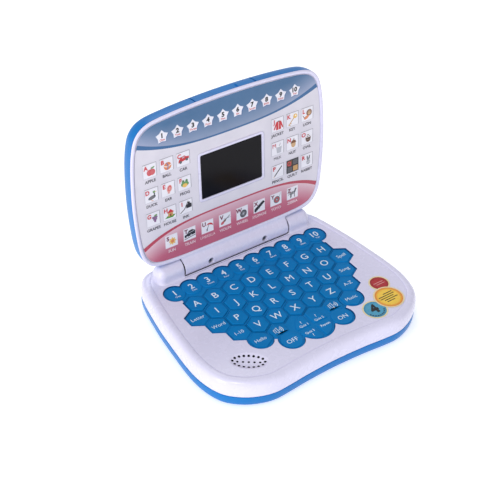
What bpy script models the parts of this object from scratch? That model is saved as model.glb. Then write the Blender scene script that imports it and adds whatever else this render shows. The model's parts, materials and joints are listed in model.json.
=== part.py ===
"""Toy laptop computer with a honeycomb keypad: base, hinged lid, keys and the parts inside.

Metres, +Z up. X runs to the right of the person who types, -Y towards that person.
The origin is on the surface it stands on, under the middle of the open laptop's box.
"""
import math

import bmesh
import bpy
from mathutils import Matrix, Vector
from mathutils.geometry import delaunay_2d_cdt

MM = 0.001

# Driving dimensions: one key pitch sets the whole layout.
PITCH = 18.5 * MM
ROW_STEP = PITCH * math.sqrt(3) / 2
ROW_A_Y = 19.75 * MM
GAP = 0.3 * MM

# Heights above the table
FLOOR_Z = 1.2 * MM
SPLIT_Z = 11.0 * MM
KEY_Z = 25.2 * MM
PANEL_Z = KEY_Z + 0.6 * MM
RIM_Z = KEY_Z + 0.9 * MM
WALL = 2.0 * MM

# Keys
KEY_TRAVEL = 0.8 * MM
KEY_BOTTOM_Z = 22.4 * MM
WEB_TOP_Z = KEY_Z - 0.7 * MM
PLATEAU = 0.88
KEY_CLEARANCE = 0.35 * MM
OPENING_CLEARANCE = 0.5 * MM
NUMBER_PITCH = 0.875 * PITCH
NUMBER_Y = 1.03 * PITCH
NUMBER_R = 0.525 * PITCH
LOBE_R = 0.575 * PITCH
POWER_X = 1.38 * PITCH
POWER_Y = -4.2 * PITCH
QUIZ_Y = -3.97 * PITCH
QUIZ_R = 0.91 * PITCH

# Hinge, in base coordinates
HINGE_Y = ROW_A_Y + 41.0 * MM
HINGE_Z = KEY_Z + 5.2 * MM
BARREL_R = 8.5 * MM
BARREL_HALF = 53.6 * MM
KNUCKLE_IN = 54.8 * MM
KNUCKLE_OUT = 78.5 * MM
TROUGH_R = 9.4 * MM
PIN_R = 3.0 * MM
LID_LEAN = math.radians(5.4)

# Lid, in its own frame: x right, y up along the lid from the hinge axis, z out of its face
LID_BASE = -5.45 * MM
CARD_Z = 2.4 * MM
PLATE_Z = 1.7 * MM
PLATE_BACK_Z = 0.2 * MM
LID_SPLIT_Z = 1.9 * MM
SCREEN_W = 60.4 * MM
SCREEN_H = 40.6 * MM
SCREEN_Y = 79.2 * MM

# Outlines, in key pitches, right half from front to back: (across, along)
BASE_HALF = [(0, -5.66), (1.5, -5.71), (2.6, -5.8), (3.35, -5.82), (4.0, -5.66), (4.65, -5.33), (5.22, -4.8),
             (5.53, -4.15), (5.68, -3.3), (5.67, -2.4), (5.57, -1.35), (5.41, 0), (5.2, 1.2), (5.05, 1.9),
             (4.84, 2.5), (4.45, 2.93), (3.8, 3.1), (3.0, 3.12), (0, 3.12)]
LID_HALF = [(0, 0.78), (1.5, 0.78), (3.0, 0.8), (4.12, 0.92), (4.7, 1.3), (5.0, 2.1), (5.16, 3.9),
            (5.15, 5.6), (5.02, 6.9), (4.75, 7.65), (4.15, 8.08), (3.0, 8.25), (1.5, 8.34), (0, 8.37)]

WHITE = (0.72, 0.70, 0.86)
BLUE = (0.045, 0.24, 0.62)
KEY_BLUE = (0.006, 0.16, 0.46)


def material(name, colour, roughness=0.4, metallic=0.0):
    found = bpy.data.materials.get(name)
    if found:
        return found
    made = bpy.data.materials.new(name)
    made.use_nodes = True
    shader = made.node_tree.nodes["Principled BSDF"]
    shader.inputs["Base Color"].default_value = (*colour, 1)
    shader.inputs["Roughness"].default_value = roughness
    shader.inputs["Metallic"].default_value = metallic
    made.diffuse_color = (*colour, 1)
    return made


def add_mesh(name, vertices, faces, finish=None):
    mesh = bpy.data.meshes.new(name)
    mesh.from_pydata([tuple(v) for v in vertices], [], faces)
    work = bmesh.new()
    work.from_mesh(mesh)
    bmesh.ops.remove_doubles(work, verts=work.verts, dist=0.00001 * MM)
    bmesh.ops.recalc_face_normals(work, faces=work.faces)
    work.to_mesh(mesh)
    work.free()
    mesh.set_sharp_from_angle(angle=math.radians(35))
    piece = bpy.data.objects.new(name, mesh)
    bpy.context.collection.objects.link(piece)
    if finish:
        mesh.materials.append(finish)
    return piece


def hide(cutter):
    cutter.hide_render = True
    cutter.display_type = "WIRE"
    return cutter


def boolean(target, operation, cutters):
    """Applies one Boolean per cutter and removes the cutters."""
    for cutter in cutters:
        step = target.modifiers.new(operation, "BOOLEAN")
        step.operation = operation
        step.solver = "EXACT"
        step.object = hide(cutter)
        bpy.context.view_layer.update()
        result = bpy.data.meshes.new_from_object(target.evaluated_get(bpy.context.evaluated_depsgraph_get()))
        target.modifiers.remove(step)
        old = target.data
        target.data = result
        bpy.data.meshes.remove(old)
        bpy.data.objects.remove(cutter)
    target.data.set_sharp_from_angle(angle=math.radians(35))


# Outlines

def spline_loop(half, steps):
    """A smooth closed loop through the half outline and its mirror image."""
    points = half + [(-x, y) for x, y in reversed(half[1:-1])]
    points = [Vector((x * PITCH, y * PITCH)) for x, y in points]
    count = len(points)
    loop = []
    for i in range(count):
        a, b, c, d = (points[(i + k) % count] for k in (-1, 0, 1, 2))
        for s in range(steps):
            t = s / steps
            loop.append(0.5 * (2 * b + (c - a) * t + (2 * a - 5 * b + 4 * c - d) * t * t
                               + (3 * b - a - 3 * c + d) * t ** 3))
    return loop


def grow(loop, distance):
    """Moves each point of a counter-clockwise loop outwards along its normal."""
    grown = []
    for i, point in enumerate(loop):
        along = (loop[(i + 1) % len(loop)] - loop[i - 1]).normalized()
        grown.append(point + distance * Vector((along.y, -along.x)))
    return grown


def loft(name, sections, finish=None):
    """A closed body through sections of equal length, capped at both ends."""
    count = len(sections[0])
    vertices = [point for section in sections for point in section]
    faces = [list(range(count))[::-1], [len(vertices) - count + i for i in range(count)]]
    for s in range(len(sections) - 1):
        for i in range(count):
            j = (i + 1) % count
            faces.append([s * count + i, s * count + j, (s + 1) * count + j, (s + 1) * count + i])
    return add_mesh(name, vertices, faces, finish)


def shell(name, outline, profile, shift, finish):
    """Lofts an outline through (inset, height) steps, each moved back by shift."""
    sections = []
    for inset, height in profile:
        sections.append([Vector((p.x, p.y + shift, height * MM)) for p in grow(outline, -inset * MM)])
    return loft(name, sections, finish)


def box(name, low, high, finish=None):
    corners = [(low[0], low[1]), (high[0], low[1]), (high[0], high[1]), (low[0], high[1])]
    return loft(name, [[Vector((x, y, z)) for x, y in corners] for z in (low[2], high[2])], finish)


def rounded_rectangle(width, height, radius, steps=3):
    points = []
    for k, (sx, sy) in enumerate(((1, -1), (1, 1), (-1, 1), (-1, -1))):
        for s in range(steps + 1):
            angle = math.radians(-90 + 90 * k + 90 * s / steps)
            points.append(Vector((sx * (width / 2 - radius) + radius * math.cos(angle),
                                  sy * (height / 2 - radius) + radius * math.sin(angle))))
    return points


def slab(name, outline, low, high, finish=None, chamfer=0.0):
    """A flat plate with the given outline, its top edge chamfered if asked."""
    steps = [(0.0, low), (0.0, high - chamfer), (chamfer, high)] if chamfer else [(0.0, low), (0.0, high)]
    sections = [[Vector((p.x, p.y, z)) for p in grow(outline, -inset)] for inset, z in steps]
    return loft(name, sections, finish)


def circle(radius, count, centre=(0, 0)):
    return [Vector((centre[0] + radius * math.cos(2 * math.pi * i / count),
                    centre[1] + radius * math.sin(2 * math.pi * i / count))) for i in range(count)]


def turned(name, profile, axis, place, finish=None, count=16):
    """A turned body: (radius, distance along axis) steps from one end to the other."""
    frame = {"X": Matrix(((0, 0, 1), (1, 0, 0), (0, 1, 0))), "Z": Matrix.Identity(3)}[axis]
    sections = []
    for radius, along in profile:
        ring = [frame @ Vector((p.x, p.y, along)) for p in circle(radius, count)]
        sections.append([Vector(place) + p for p in ring])
    return loft(name, sections, finish)


# Keypad plan: regions are unions of simple outlines, worked out as one triangulated map.

def hexagon(x, y, across):
    radius = across / math.sqrt(3)
    return [Vector((x + radius * math.sin(math.radians(60 * i)), y - radius * math.cos(math.radians(60 * i))))
            for i in range(6)]


def inside(point, outline):
    hit = False
    for i, b in enumerate(outline):
        a = outline[i - 1]
        if (a.y > point.y) != (b.y > point.y):
            if point.x < (b.x - a.x) * (point.y - a.y) / (b.y - a.y) + a.x:
                hit = not hit
    return hit


def terrace(name, outlines, level_of, levels, finish=None):
    """A closed body over a plan. level_of(point) gives how many levels it rises, 0 for nothing."""
    points = []
    edges = []
    for outline in outlines:
        start = len(points)
        points.extend(outline)
        edges.extend((start + i, start + (i + 1) % len(outline)) for i in range(len(outline)))
    plan, _, cells, _, _, _ = delaunay_2d_cdt(points, edges, [], 0, 0.002 * MM)
    rise = []
    for cell in cells:
        rise.append(level_of(sum((plan[i] for i in cell), Vector((0, 0))) / len(cell)))
    beside = {}
    for cell, height in zip(cells, rise):
        for i, start in enumerate(cell):
            beside[(start, cell[(i + 1) % len(cell)])] = height
    count = len(plan)
    vertices = [Vector((p.x, p.y, z)) for z in levels for p in plan]
    faces = []
    for cell, height in zip(cells, rise):
        if height:
            faces.append([height * count + i for i in cell])
            faces.append(list(cell)[::-1])
    for (a, b), height in beside.items():
        for level in range(beside.get((b, a), 0), height):
            faces.append([level * count + a, level * count + b, (level + 1) * count + b, (level + 1) * count + a])
    used = sorted({i for face in faces for i in face})
    place = {old: new for new, old in enumerate(used)}
    return add_mesh(name, [vertices[i] for i in used], [[place[i] for i in face] for face in faces], finish)


def lattice(column, row):
    """Centre of a honeycomb cell, counted from the middle of the letter row A to H."""
    return (column * PITCH, -row * ROW_STEP)


LETTER_ROWS = [("abcdefgh", -3.5), ("ijklmno", -3.0), ("pqrstu", -2.5), ("vwxyz", -2.0)]
LETTERS = {letter: lattice(start + i, row)
           for row, (letters, start) in enumerate(LETTER_ROWS) for i, letter in enumerate(letters)}
SIDE_CELLS = [lattice(-4.0, 1), lattice(-3.5, 2), lattice(-3.0, 3), lattice(-2.5, 4)]
NUMBERS = [((i - 4.5) * NUMBER_PITCH, NUMBER_Y) for i in range(10)]
LOWER_CELLS = [lattice(column, 4) for column in (-1.5, -0.5, 0.5, 1.5)]


def mirrored(points):
    return [(-x, y) for x, y in points]


def letter_cells(extra=0.0):
    return [hexagon(x, y, PITCH + 2 * extra) for x, y in LETTERS.values()]


def side_cells(cells, extra=0.0):
    outlines = [hexagon(x, y, PITCH + 2 * extra) for x, y in cells]
    return outlines + [circle(LOBE_R + extra, 18, cells[-1])]


def lower_cells(extra=0.0):
    outlines = [hexagon(x, y, PITCH + 2 * extra) for x, y in LOWER_CELLS]
    outlines += [circle(LOBE_R + extra, 18, (side * POWER_X, POWER_Y)) for side in (-1, 1)]
    return outlines + [circle(QUIZ_R + extra, 28, (0, QUIZ_Y))]


def number_cells(extra=0.0):
    end = -NUMBERS[0][0]
    strip = [Vector((-end, 0.3 * PITCH)), Vector((end, 0.3 * PITCH)),
             Vector((end, NUMBER_Y)), Vector((-end, NUMBER_Y))]
    return [circle(NUMBER_R + extra, 16, centre) for centre in NUMBERS] + [strip]


def within(outlines):
    return lambda point: any(inside(point, outline) for outline in outlines)


def key_band(name, cells, blocked, plateaus, finish):
    """Keys that are moulded together: a low sheet with raised plateaus on it."""
    sheet, kept_out, raised = within(cells), within(blocked), within(plateaus)

    def level_of(point):
        if not sheet(point) or kept_out(point):
            return 0
        return 2 if raised(point) else 1

    piece = terrace(name, cells + blocked + plateaus, level_of, (KEY_BOTTOM_Z, WEB_TOP_Z, KEY_Z), finish)
    piece.location.y = ROW_A_Y
    return piece


def quiz_quadrants():
    """Four raised quarters of the round pad, a groove between them."""
    quarters = []
    for k in range(4):
        arc = [Vector((0.82 * PITCH * math.cos(a), 0.82 * PITCH * math.sin(a)))
               for a in (math.radians(7 + 90 * k + 76 * s / 6) for s in range(7))]
        corner = Vector((0.1 * PITCH, 0.1 * PITCH)) @ Matrix.Rotation(math.radians(-90 * k), 2)
        quarters.append([Vector((p.x, p.y + QUIZ_Y)) for p in arc + [corner]])
    return quarters


def make_keypad():
    rubber = material("key_rubber", KEY_BLUE, 0.35)
    size = PLATEAU * PITCH
    letters = letter_cells()
    holes = [hexagon(x, y, size + 2 * KEY_CLEARANCE) for x, y in LETTERS.values()]
    sheet, hole = within(letters), within(holes)
    web = terrace("keypad_web", letters + holes, lambda p: 1 if sheet(p) and not hole(p) else 0,
                  (KEY_BOTTOM_Z, WEB_TOP_Z), rubber)
    web.location.y = ROW_A_Y
    for letter, (x, y) in LETTERS.items():
        key = slab("key_" + letter, hexagon(0, 0, size), KEY_BOTTOM_Z - KEY_Z, 0, rubber, 0.4 * MM)
        key.location = (x, y + ROW_A_Y, KEY_Z)

    margin = GAP + 0.05 * MM
    fence = letter_cells(margin)
    left, right = SIDE_CELLS, mirrored(SIDE_CELLS)
    key_band("number_keys", number_cells(), fence, [circle(0.44 * PITCH, 16, c) for c in NUMBERS], rubber)
    for name, cells in (("left_function_keys", left), ("right_function_keys", right)):
        key_band(name, side_cells(cells), fence, [hexagon(x, y, size) for x, y in cells], rubber)
    blocked = fence + side_cells(left, margin) + side_cells(right, margin)
    raised = [hexagon(x, y, size) for x, y in (LOWER_CELLS[0], LOWER_CELLS[3])]
    power = [circle(0.48 * PITCH, 18, (side * POWER_X, POWER_Y)) for side in (-1, 1)]
    pad = within([circle(QUIZ_R, 28, (0, QUIZ_Y))] + [circle(LOBE_R, 18, (s * POWER_X, POWER_Y)) for s in (-1, 1)])
    lower_band(blocked, raised, power, pad, rubber)


def lower_band(blocked, volume, power, pad, finish):
    """Volume, power and quiz keys. The round lobes cut the volume hexagons short."""
    cells = lower_cells()
    sheet, kept_out = within(cells), within(blocked)
    volume_key, round_key = within(volume), within(power + quiz_quadrants())

    def level_of(point):
        if not sheet(point) or kept_out(point):
            return 0
        return 2 if round_key(point) or (volume_key(point) and not pad(point)) else 1

    piece = terrace("lower_function_keys", cells + blocked + volume + power + quiz_quadrants(), level_of,
                    (KEY_BOTTOM_Z, WEB_TOP_Z, KEY_Z), finish)
    piece.location.y = ROW_A_Y


def keypad_opening():
    """Cutter for the scalloped opening: every key cell, grown by the running clearance."""
    grown = OPENING_CLEARANCE
    cells = (letter_cells(grown) + number_cells(grown) + side_cells(SIDE_CELLS, grown)
             + side_cells(mirrored(SIDE_CELLS), grown) + lower_cells(grown))
    covered = within(cells)
    cutter = terrace("opening", cells, lambda p: 1 if covered(p) else 0, (KEY_BOTTOM_Z - 2 * MM, RIM_Z + 3 * MM))
    cutter.location.y = ROW_A_Y
    return cutter


# Base

GRILLE = {"centre": (-3.69, -4.27), "along": 0.69, "across": 0.34, "turn": -36, "ring": 16, "hole": 0.85 * MM}
CASE_SCREWS = [(-78 * MM, 40 * MM), (78 * MM, 40 * MM), (-84 * MM, -52 * MM), (84 * MM, -52 * MM)]
FEET = [(-80 * MM, 24 * MM), (80 * MM, 24 * MM), (-72 * MM, -82 * MM), (72 * MM, -82 * MM)]
CELL_R = 7.25 * MM
CELL_LENGTH = 50.5 * MM
CELL_PITCH = 15.0 * MM
BAY_Y = -24 * MM
BAY_HALF = (29.0 * MM, 23.2 * MM)
BAY_TOP_Z = 18.4 * MM
DOOR_LIP = 3.0 * MM
DOOR_SCREW_X = 36.0 * MM
SPEAKER_R = 14.5 * MM


def grille_points():
    turn = Matrix.Rotation(math.radians(GRILLE["turn"]), 2)
    centre = Vector(GRILLE["centre"])
    local = [Vector((GRILLE["along"] * math.cos(a), GRILLE["across"] * math.sin(a)))
             for a in (2 * math.pi * (i + 0.5) / GRILLE["ring"] for i in range(GRILLE["ring"]))]
    local += [Vector((0.22 * i, -0.05)) for i in range(-2, 3)]
    return [(centre + turn @ p) * PITCH for p in local]


def knuckle(side, finish=None):
    """One hinge knuckle: a half-round hump with flared feet and a rounded outer end."""
    foot_z = PANEL_Z - HINGE_Z - 1.0 * MM
    section = []
    for i in range(13):
        angle = math.radians(180 * i / 12)
        section.append(Vector((BARREL_R * math.cos(angle), BARREL_R * math.sin(angle))))
    section += [Vector((-BARREL_R - 0.3 * MM, foot_z + 3.5 * MM)), Vector((-BARREL_R - 2.5 * MM, foot_z)),
                Vector((BARREL_R + 2.5 * MM, foot_z)), Vector((BARREL_R + 0.3 * MM, foot_z + 3.5 * MM))]
    stations = [(KNUCKLE_IN, 1.0), (KNUCKLE_OUT - 5 * MM, 1.0), (KNUCKLE_OUT - 2.5 * MM, 0.95),
                (KNUCKLE_OUT - 0.7 * MM, 0.82), (KNUCKLE_OUT, 0.62)]
    sections = []
    for x, scale in stations:
        ring = []
        for p in section:
            z = foot_z + (p.y - foot_z) * scale
            ring.append(Vector((side * x, HINGE_Y + p.x * scale, HINGE_Z + z)))
        sections.append(ring)
    return loft("knuckle", sections, finish)


def make_top_shell(outline):
    panel, rim = PANEL_Z / MM, RIM_Z / MM
    profile = [(6.5, panel - 2.0), (4.0, panel - 3.4), (2.4, SPLIT_Z / MM + 0.15), (0.6, SPLIT_Z / MM + 0.15),
               (0, panel - 8.0), (0.7, panel - 4.2), (1.7, panel - 2.1), (3.3, panel - 0.6), (5.0, rim), (9.2, rim),
               (9.7, panel)]
    case = shell("base_top_shell", outline, profile, ROW_A_Y, material("white_plastic", WHITE, 0.22))
    additions = [knuckle(-1), knuckle(1)]
    additions.append(box("trough", (-KNUCKLE_IN - 1.5 * MM, HINGE_Y - 11.4 * MM, HINGE_Z - 11.4 * MM),
                         (KNUCKLE_IN + 1.5 * MM, HINGE_Y + 11.4 * MM, PANEL_Z - 0.5 * MM)))
    for x, y in CASE_SCREWS:
        additions.append(turned("boss", [(3.5 * MM, SPLIT_Z + 0.4 * MM), (3.5 * MM, PANEL_Z - 1 * MM)], "Z",
                                (x, y + ROW_A_Y, 0), count=12))
    boolean(case, "UNION", additions)
    cutters = [trough_cutter(), keypad_opening()]
    for side in (-1, 1):
        cutters.append(turned("pin_bore", [(PIN_R + GAP, 50 * MM), (PIN_R + GAP, 64 * MM)], "X",
                              (0, HINGE_Y, HINGE_Z)) if side > 0 else
                       turned("pin_bore", [(PIN_R + GAP, -64 * MM), (PIN_R + GAP, -50 * MM)], "X",
                              (0, HINGE_Y, HINGE_Z)))
    for x, y in CASE_SCREWS:
        cutters.append(turned("bore", [(1.6 * MM, SPLIT_Z - 1 * MM), (1.6 * MM, 20.5 * MM)], "Z",
                              (x, y + ROW_A_Y, 0), count=10))
    for p in grille_points():
        cutters.append(turned("hole", [(GRILLE["hole"], PANEL_Z - 4 * MM), (GRILLE["hole"], PANEL_Z + 2 * MM)], "Z",
                              (p.x, p.y + ROW_A_Y, 0), count=8))
    boolean(case, "DIFFERENCE", cutters)


def trough_cutter():
    """Room for the barrel: round below the axis, straight walls above it."""
    section = [Vector((TROUGH_R * math.cos(a), TROUGH_R * math.sin(a)))
               for a in (math.radians(180 + 180 * i / 12) for i in range(13))]
    section += [Vector((TROUGH_R, 12 * MM)), Vector((-TROUGH_R, 12 * MM))]
    return loft("trough_cut", [[Vector((x, HINGE_Y + p.x, HINGE_Z + p.y)) for p in section]
                               for x in (-KNUCKLE_IN, KNUCKLE_IN)])


def make_bottom_shell(outline):
    top, floor = SPLIT_Z / MM - 0.15, FLOOR_Z / MM
    profile = [(6.4, floor + 2.4), (4.0, floor + 4.2), (2.4, top), (0.6, top),
               (1.6, floor + 3.0), (2.4, floor + 1.1), (4.4, floor)]
    case = shell("base_bottom_shell", outline, profile, ROW_A_Y, material("blue_plastic", BLUE, 0.25))
    bay_y = BAY_Y + ROW_A_Y
    half_x, half_y = BAY_HALF
    additions = [box("tub", (-half_x - 1.2 * MM, bay_y - half_y - 1.2 * MM, FLOOR_Z + 1 * MM),
                     (half_x + 1.2 * MM, bay_y + half_y + 1.2 * MM, BAY_TOP_Z + 1.2 * MM))]
    for x, y in CASE_SCREWS:
        additions.append(turned("post", [(4.6 * MM, FLOOR_Z + 1 * MM), (4.6 * MM, SPLIT_Z - 0.3 * MM)], "Z",
                                (x, y + ROW_A_Y, 0), count=12))
    additions.append(turned("door_post", [(3.0 * MM, FLOOR_Z + 1 * MM), (3.0 * MM, SPLIT_Z)], "Z",
                            (DOOR_SCREW_X, bay_y, 0), count=12))
    boolean(case, "UNION", additions)
    cutters = [box("bay", (-half_x, bay_y - half_y, 0), (half_x, bay_y + half_y, BAY_TOP_Z)),
               box("lip", (-half_x - DOOR_LIP, bay_y - half_y - DOOR_LIP, 0),
                   (DOOR_SCREW_X + 4.2 * MM, bay_y + half_y + DOOR_LIP, FLOOR_Z + 1.3 * MM)),
               turned("door_bore", [(1.5 * MM, 0), (1.5 * MM, SPLIT_Z - 1.2 * MM)], "Z",
                      (DOOR_SCREW_X, bay_y, 0), count=10)]
    for x, y in CASE_SCREWS:
        cutters.append(turned("sink", [(3.0 * MM, 0), (3.0 * MM, 6 * MM)], "Z", (x, y + ROW_A_Y, 0), count=12))
        cutters.append(turned("bore", [(1.6 * MM, 5 * MM), (1.6 * MM, 11 * MM)], "Z", (x, y + ROW_A_Y, 0), count=10))
    for x, y in FEET:
        cutters.append(turned("seat", [(6.3 * MM, 0), (6.3 * MM, FLOOR_Z + 0.9 * MM)], "Z",
                              (x, y + ROW_A_Y, 0), count=20))
    boolean(case, "DIFFERENCE", cutters)


def make_base_fittings():
    steel = material("screw_steel", (0.5, 0.5, 0.52), 0.35, 1.0)
    rubber = material("foot_rubber", (0.03, 0.03, 0.035), 0.8)
    for i, (x, y) in enumerate(CASE_SCREWS, 1):
        turned(f"case_screw_{i}", [(2.6 * MM, 4.2 * MM), (2.6 * MM, 5.7 * MM), (1.3 * MM, 5.7 * MM),
                                   (1.3 * MM, 17 * MM), (0.6 * MM, 18 * MM)], "Z", (x, y + ROW_A_Y, 0), steel, 12)
    for i, (x, y) in enumerate(FEET, 1):
        turned(f"rubber_foot_{i}", [(5.4 * MM, 0), (6.0 * MM, 0.5 * MM), (6.0 * MM, FLOOR_Z + 0.6 * MM)], "Z",
               (x, y + ROW_A_Y, 0), rubber, 20)
    make_board()
    make_speaker()
    make_battery_parts()
    sticker_outlines = [circle(r * PITCH, 18, (x * PITCH, y * PITCH)) for x, y, r in STICKER]
    covered = within(sticker_outlines)
    sticker = terrace("feature_sticker", sticker_outlines, lambda p: 1 if covered(p) else 0,
                      (PANEL_Z + 0.15 * MM, PANEL_Z + 0.35 * MM), material("sticker_film", (0.8, 0.3, 0.1), 0.3))
    sticker.location.y = ROW_A_Y


STICKER = [(4.17, -3.42, 0.49), (3.92, -4.36, 0.7), (2.86, -4.7, 0.58)]


def make_board():
    """Main board under the keypad, cut back at the front left for the loudspeaker."""
    outline = [(-46, -84), (46, -84), (70, -62), (74, 24), (-74, 24), (-74, -54), (-46, -54)]
    slab("main_board", [Vector((x * MM, y * MM + ROW_A_Y)) for x, y in outline], 19.9 * MM, 21.2 * MM,
         material("board_green", (0.02, 0.2, 0.08), 0.5))


def make_speaker():
    x, y = (value * PITCH for value in GRILLE["centre"])
    turned("speaker", [(7 * MM, 11.5 * MM), (7 * MM, 14.5 * MM), (SPEAKER_R - 2 * MM, 16 * MM),
                       (SPEAKER_R, 20 * MM), (SPEAKER_R, 22.6 * MM), (SPEAKER_R - 2 * MM, 22.6 * MM),
                       (5 * MM, 19.4 * MM), (3 * MM, 20.4 * MM)], "Z", (x, y + ROW_A_Y, 0),
           material("speaker_paper", (0.05, 0.05, 0.05), 0.8), 18)


def make_battery_parts():
    bay_y = BAY_Y + ROW_A_Y
    centre_z = BAY_TOP_Z - GAP - CELL_R
    half = CELL_LENGTH / 2
    jacket = material("cell_jacket", (0.05, 0.12, 0.08), 0.3, 0.3)
    for i in range(3):
        turned(f"battery_{i + 1}", [(CELL_R - 0.6 * MM, -half), (CELL_R, 0.6 * MM - half), (CELL_R, half - 2 * MM),
                                    (2.7 * MM, half - 1.6 * MM), (2.7 * MM, half)],
               "X", (0, bay_y + (i - 1) * CELL_PITCH, centre_z), jacket, 20)
    nickel = material("contact_nickel", (0.6, 0.6, 0.58), 0.3, 1.0)
    for name, side in (("battery_contact_left", -1), ("battery_contact_right", 1)):
        inner, outer = sorted((side * (half + GAP), side * (BAY_HALF[0] - GAP)))
        box(name, (inner, bay_y - 21 * MM, 5 * MM), (outer, bay_y + 21 * MM, 16.5 * MM), nickel)
    door = box("battery_door", (GAP - BAY_HALF[0] - DOOR_LIP, bay_y - BAY_HALF[1] - DOOR_LIP + GAP, FLOOR_Z),
               (DOOR_SCREW_X + 3.9 * MM, bay_y + BAY_HALF[1] + DOOR_LIP - GAP, FLOOR_Z + 1.0 * MM),
               material("blue_plastic", BLUE, 0.25))
    plug = box("plug", (GAP - BAY_HALF[0], bay_y - BAY_HALF[1] + GAP, FLOOR_Z + 0.5 * MM),
               (BAY_HALF[0] - GAP, bay_y + BAY_HALF[1] - GAP, FLOOR_Z + 2.0 * MM))
    boolean(door, "UNION", [plug])
    boolean(door, "DIFFERENCE", [turned("hole", [(1.5 * MM, 0), (1.5 * MM, 4 * MM)], "Z",
                                        (DOOR_SCREW_X, bay_y, 0), count=10)])
    turned("battery_door_screw", [(2.4 * MM, 0.3 * MM), (2.4 * MM, FLOOR_Z - 0.2 * MM), (1.1 * MM, FLOOR_Z - 0.2 * MM),
                                  (1.1 * MM, SPLIT_Z - 2 * MM)], "Z", (DOOR_SCREW_X, bay_y, 0),
           material("screw_steel", (0.5, 0.5, 0.52), 0.35, 1.0), 12)


# Lid

def make_lid(axis):
    outline = [p + Vector((0, LID_BASE)) for p in spline_loop(LID_HALF, 3)]
    pieces = [make_lid_front(outline), make_lid_back(outline), make_card(outline)]
    pieces += make_screen()
    steel = material("screw_steel", (0.5, 0.5, 0.52), 0.35, 1.0)
    for name, side in (("barrel_screw_left", -1), ("barrel_screw_right", 1)):
        pieces.append(turned(name, [(1.0 * MM, -4 * MM), (1.0 * MM, 5.8 * MM), (2.3 * MM, 5.8 * MM),
                                    (2.3 * MM, 7.1 * MM)], "Z", (side * SCREW_X, 0, 0), steel, 12))
    for piece in pieces:
        piece.parent = axis


SCREW_X = 28.0 * MM


def make_lid_front(outline):
    rise = [(2.6, PLATE_BACK_Z / MM), (2.6, LID_SPLIT_Z / MM), (0.1, LID_SPLIT_Z / MM), (0.2, 2.4), (0.7, 2.9),
            (1.6, 3.2), (2.7, 3.0), (3.5, 2.3), (3.5, PLATE_Z / MM)]
    case = shell("lid_front_shell", outline, rise, 0, material("white_plastic", WHITE, 0.22))
    frame = slab("frame", [p + Vector((0, SCREEN_Y)) for p in
                           rounded_rectangle(SCREEN_W + 5 * MM, SCREEN_H + 5 * MM, 3 * MM)],
                 PLATE_Z - 0.5 * MM, CARD_Z + 0.3 * MM)
    web = box("web", (-BARREL_HALF, 6 * MM, LID_SPLIT_Z), (BARREL_HALF, 11.5 * MM, 3.0 * MM))
    barrel = turned("barrel", [(BARREL_R - 0.5 * MM, -BARREL_HALF), (BARREL_R, 0.5 * MM - BARREL_HALF),
                               (BARREL_R, BARREL_HALF - 0.5 * MM), (BARREL_R - 0.5 * MM, BARREL_HALF)],
                    "X", (0, 0, 0), count=32)
    boolean(case, "UNION", [frame, barrel, web])
    window = [p + Vector((0, SCREEN_Y)) for p in
              rounded_rectangle(SCREEN_W + 2 * GAP, SCREEN_H + 2 * GAP, 1.2 * MM)]
    sight = [p + Vector((0, SCREEN_Y)) for p in rounded_rectangle(SCREEN_W - 4 * MM, SCREEN_H - 4 * MM, 1 * MM)]
    cutters = [slab("window", window, 0.9 * MM, 5 * MM), slab("sight", sight, -2 * MM, 2 * MM)]
    cutters.append(turned("hollow", [(6.2 * MM, -44 * MM), (6.2 * MM, 44 * MM)], "X", (0, 0, 0), count=20))
    cutters.append(turned("pin_bore", [(PIN_R + GAP, -60 * MM), (PIN_R + GAP, 60 * MM)], "X", (0, 0, 0)))
    for side in (-1, 1):
        place = (side * SCREW_X, 0, 0)
        cutters.append(turned("sink", [(2.7 * MM, 5.5 * MM), (2.7 * MM, 10 * MM)], "Z", place, count=14))
    boolean(case, "DIFFERENCE", cutters)
    boss = []
    for side in (-1, 1):
        boss.append(turned("boss", [(3.2 * MM, -7 * MM), (3.2 * MM, 5.5 * MM)], "Z", (side * SCREW_X, 0, 0), count=12))
    boolean(case, "UNION", boss)
    boolean(case, "DIFFERENCE", [turned("bore", [(1.3 * MM, -4.5 * MM), (1.3 * MM, 6 * MM)], "Z",
                                        (side * SCREW_X, 0, 0), count=10) for side in (-1, 1)])
    return case


def make_lid_back(outline):
    split = LID_SPLIT_Z / MM - 0.3
    fall = [(20, -12.5), (8, -12.0), (4.4, -10.6), (2.2, -7.0), (2.0, split), (0, split), (0.2, -7.5),
            (1.1, -10.8), (3.0, -13.0), (7, -14.0), (20, -14.5)]
    case = shell("lid_back_shell", outline, fall, 0, material("blue_plastic", BLUE, 0.25))
    top = max(p.y for p in outline)
    cutters = [box("groove", (side * GROOVE_X - 0.6 * MM, top - 2.2 * MM, -13 * MM),
                   (side * GROOVE_X + 0.6 * MM, top + 5 * MM, 2 * MM)) for side in (-1, 1)]
    recess = box("recess", (-12.5 * MM, -1.5 * MM, -7 * MM), (12.5 * MM, 6 * MM, 3 * MM))
    recess.rotation_euler.x = math.radians(10)
    recess.location = (0, top, 0)
    boolean(case, "DIFFERENCE", cutters + [recess])
    return case


GROOVE_X = 1.57 * PITCH


def make_card(outline):
    cut = [p + Vector((0, SCREEN_Y)) for p in
           rounded_rectangle(SCREEN_W + 5.6 * MM, SCREEN_H + 5.6 * MM, 3.2 * MM)]
    card = slab("lid_card", grow(outline, -3.8 * MM), CARD_Z - 0.4 * MM, CARD_Z,
                material("card_print", (0.7, 0.68, 0.78), 0.5))
    boolean(card, "DIFFERENCE", [slab("cut", cut, 0, 5 * MM)])
    return card


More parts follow.
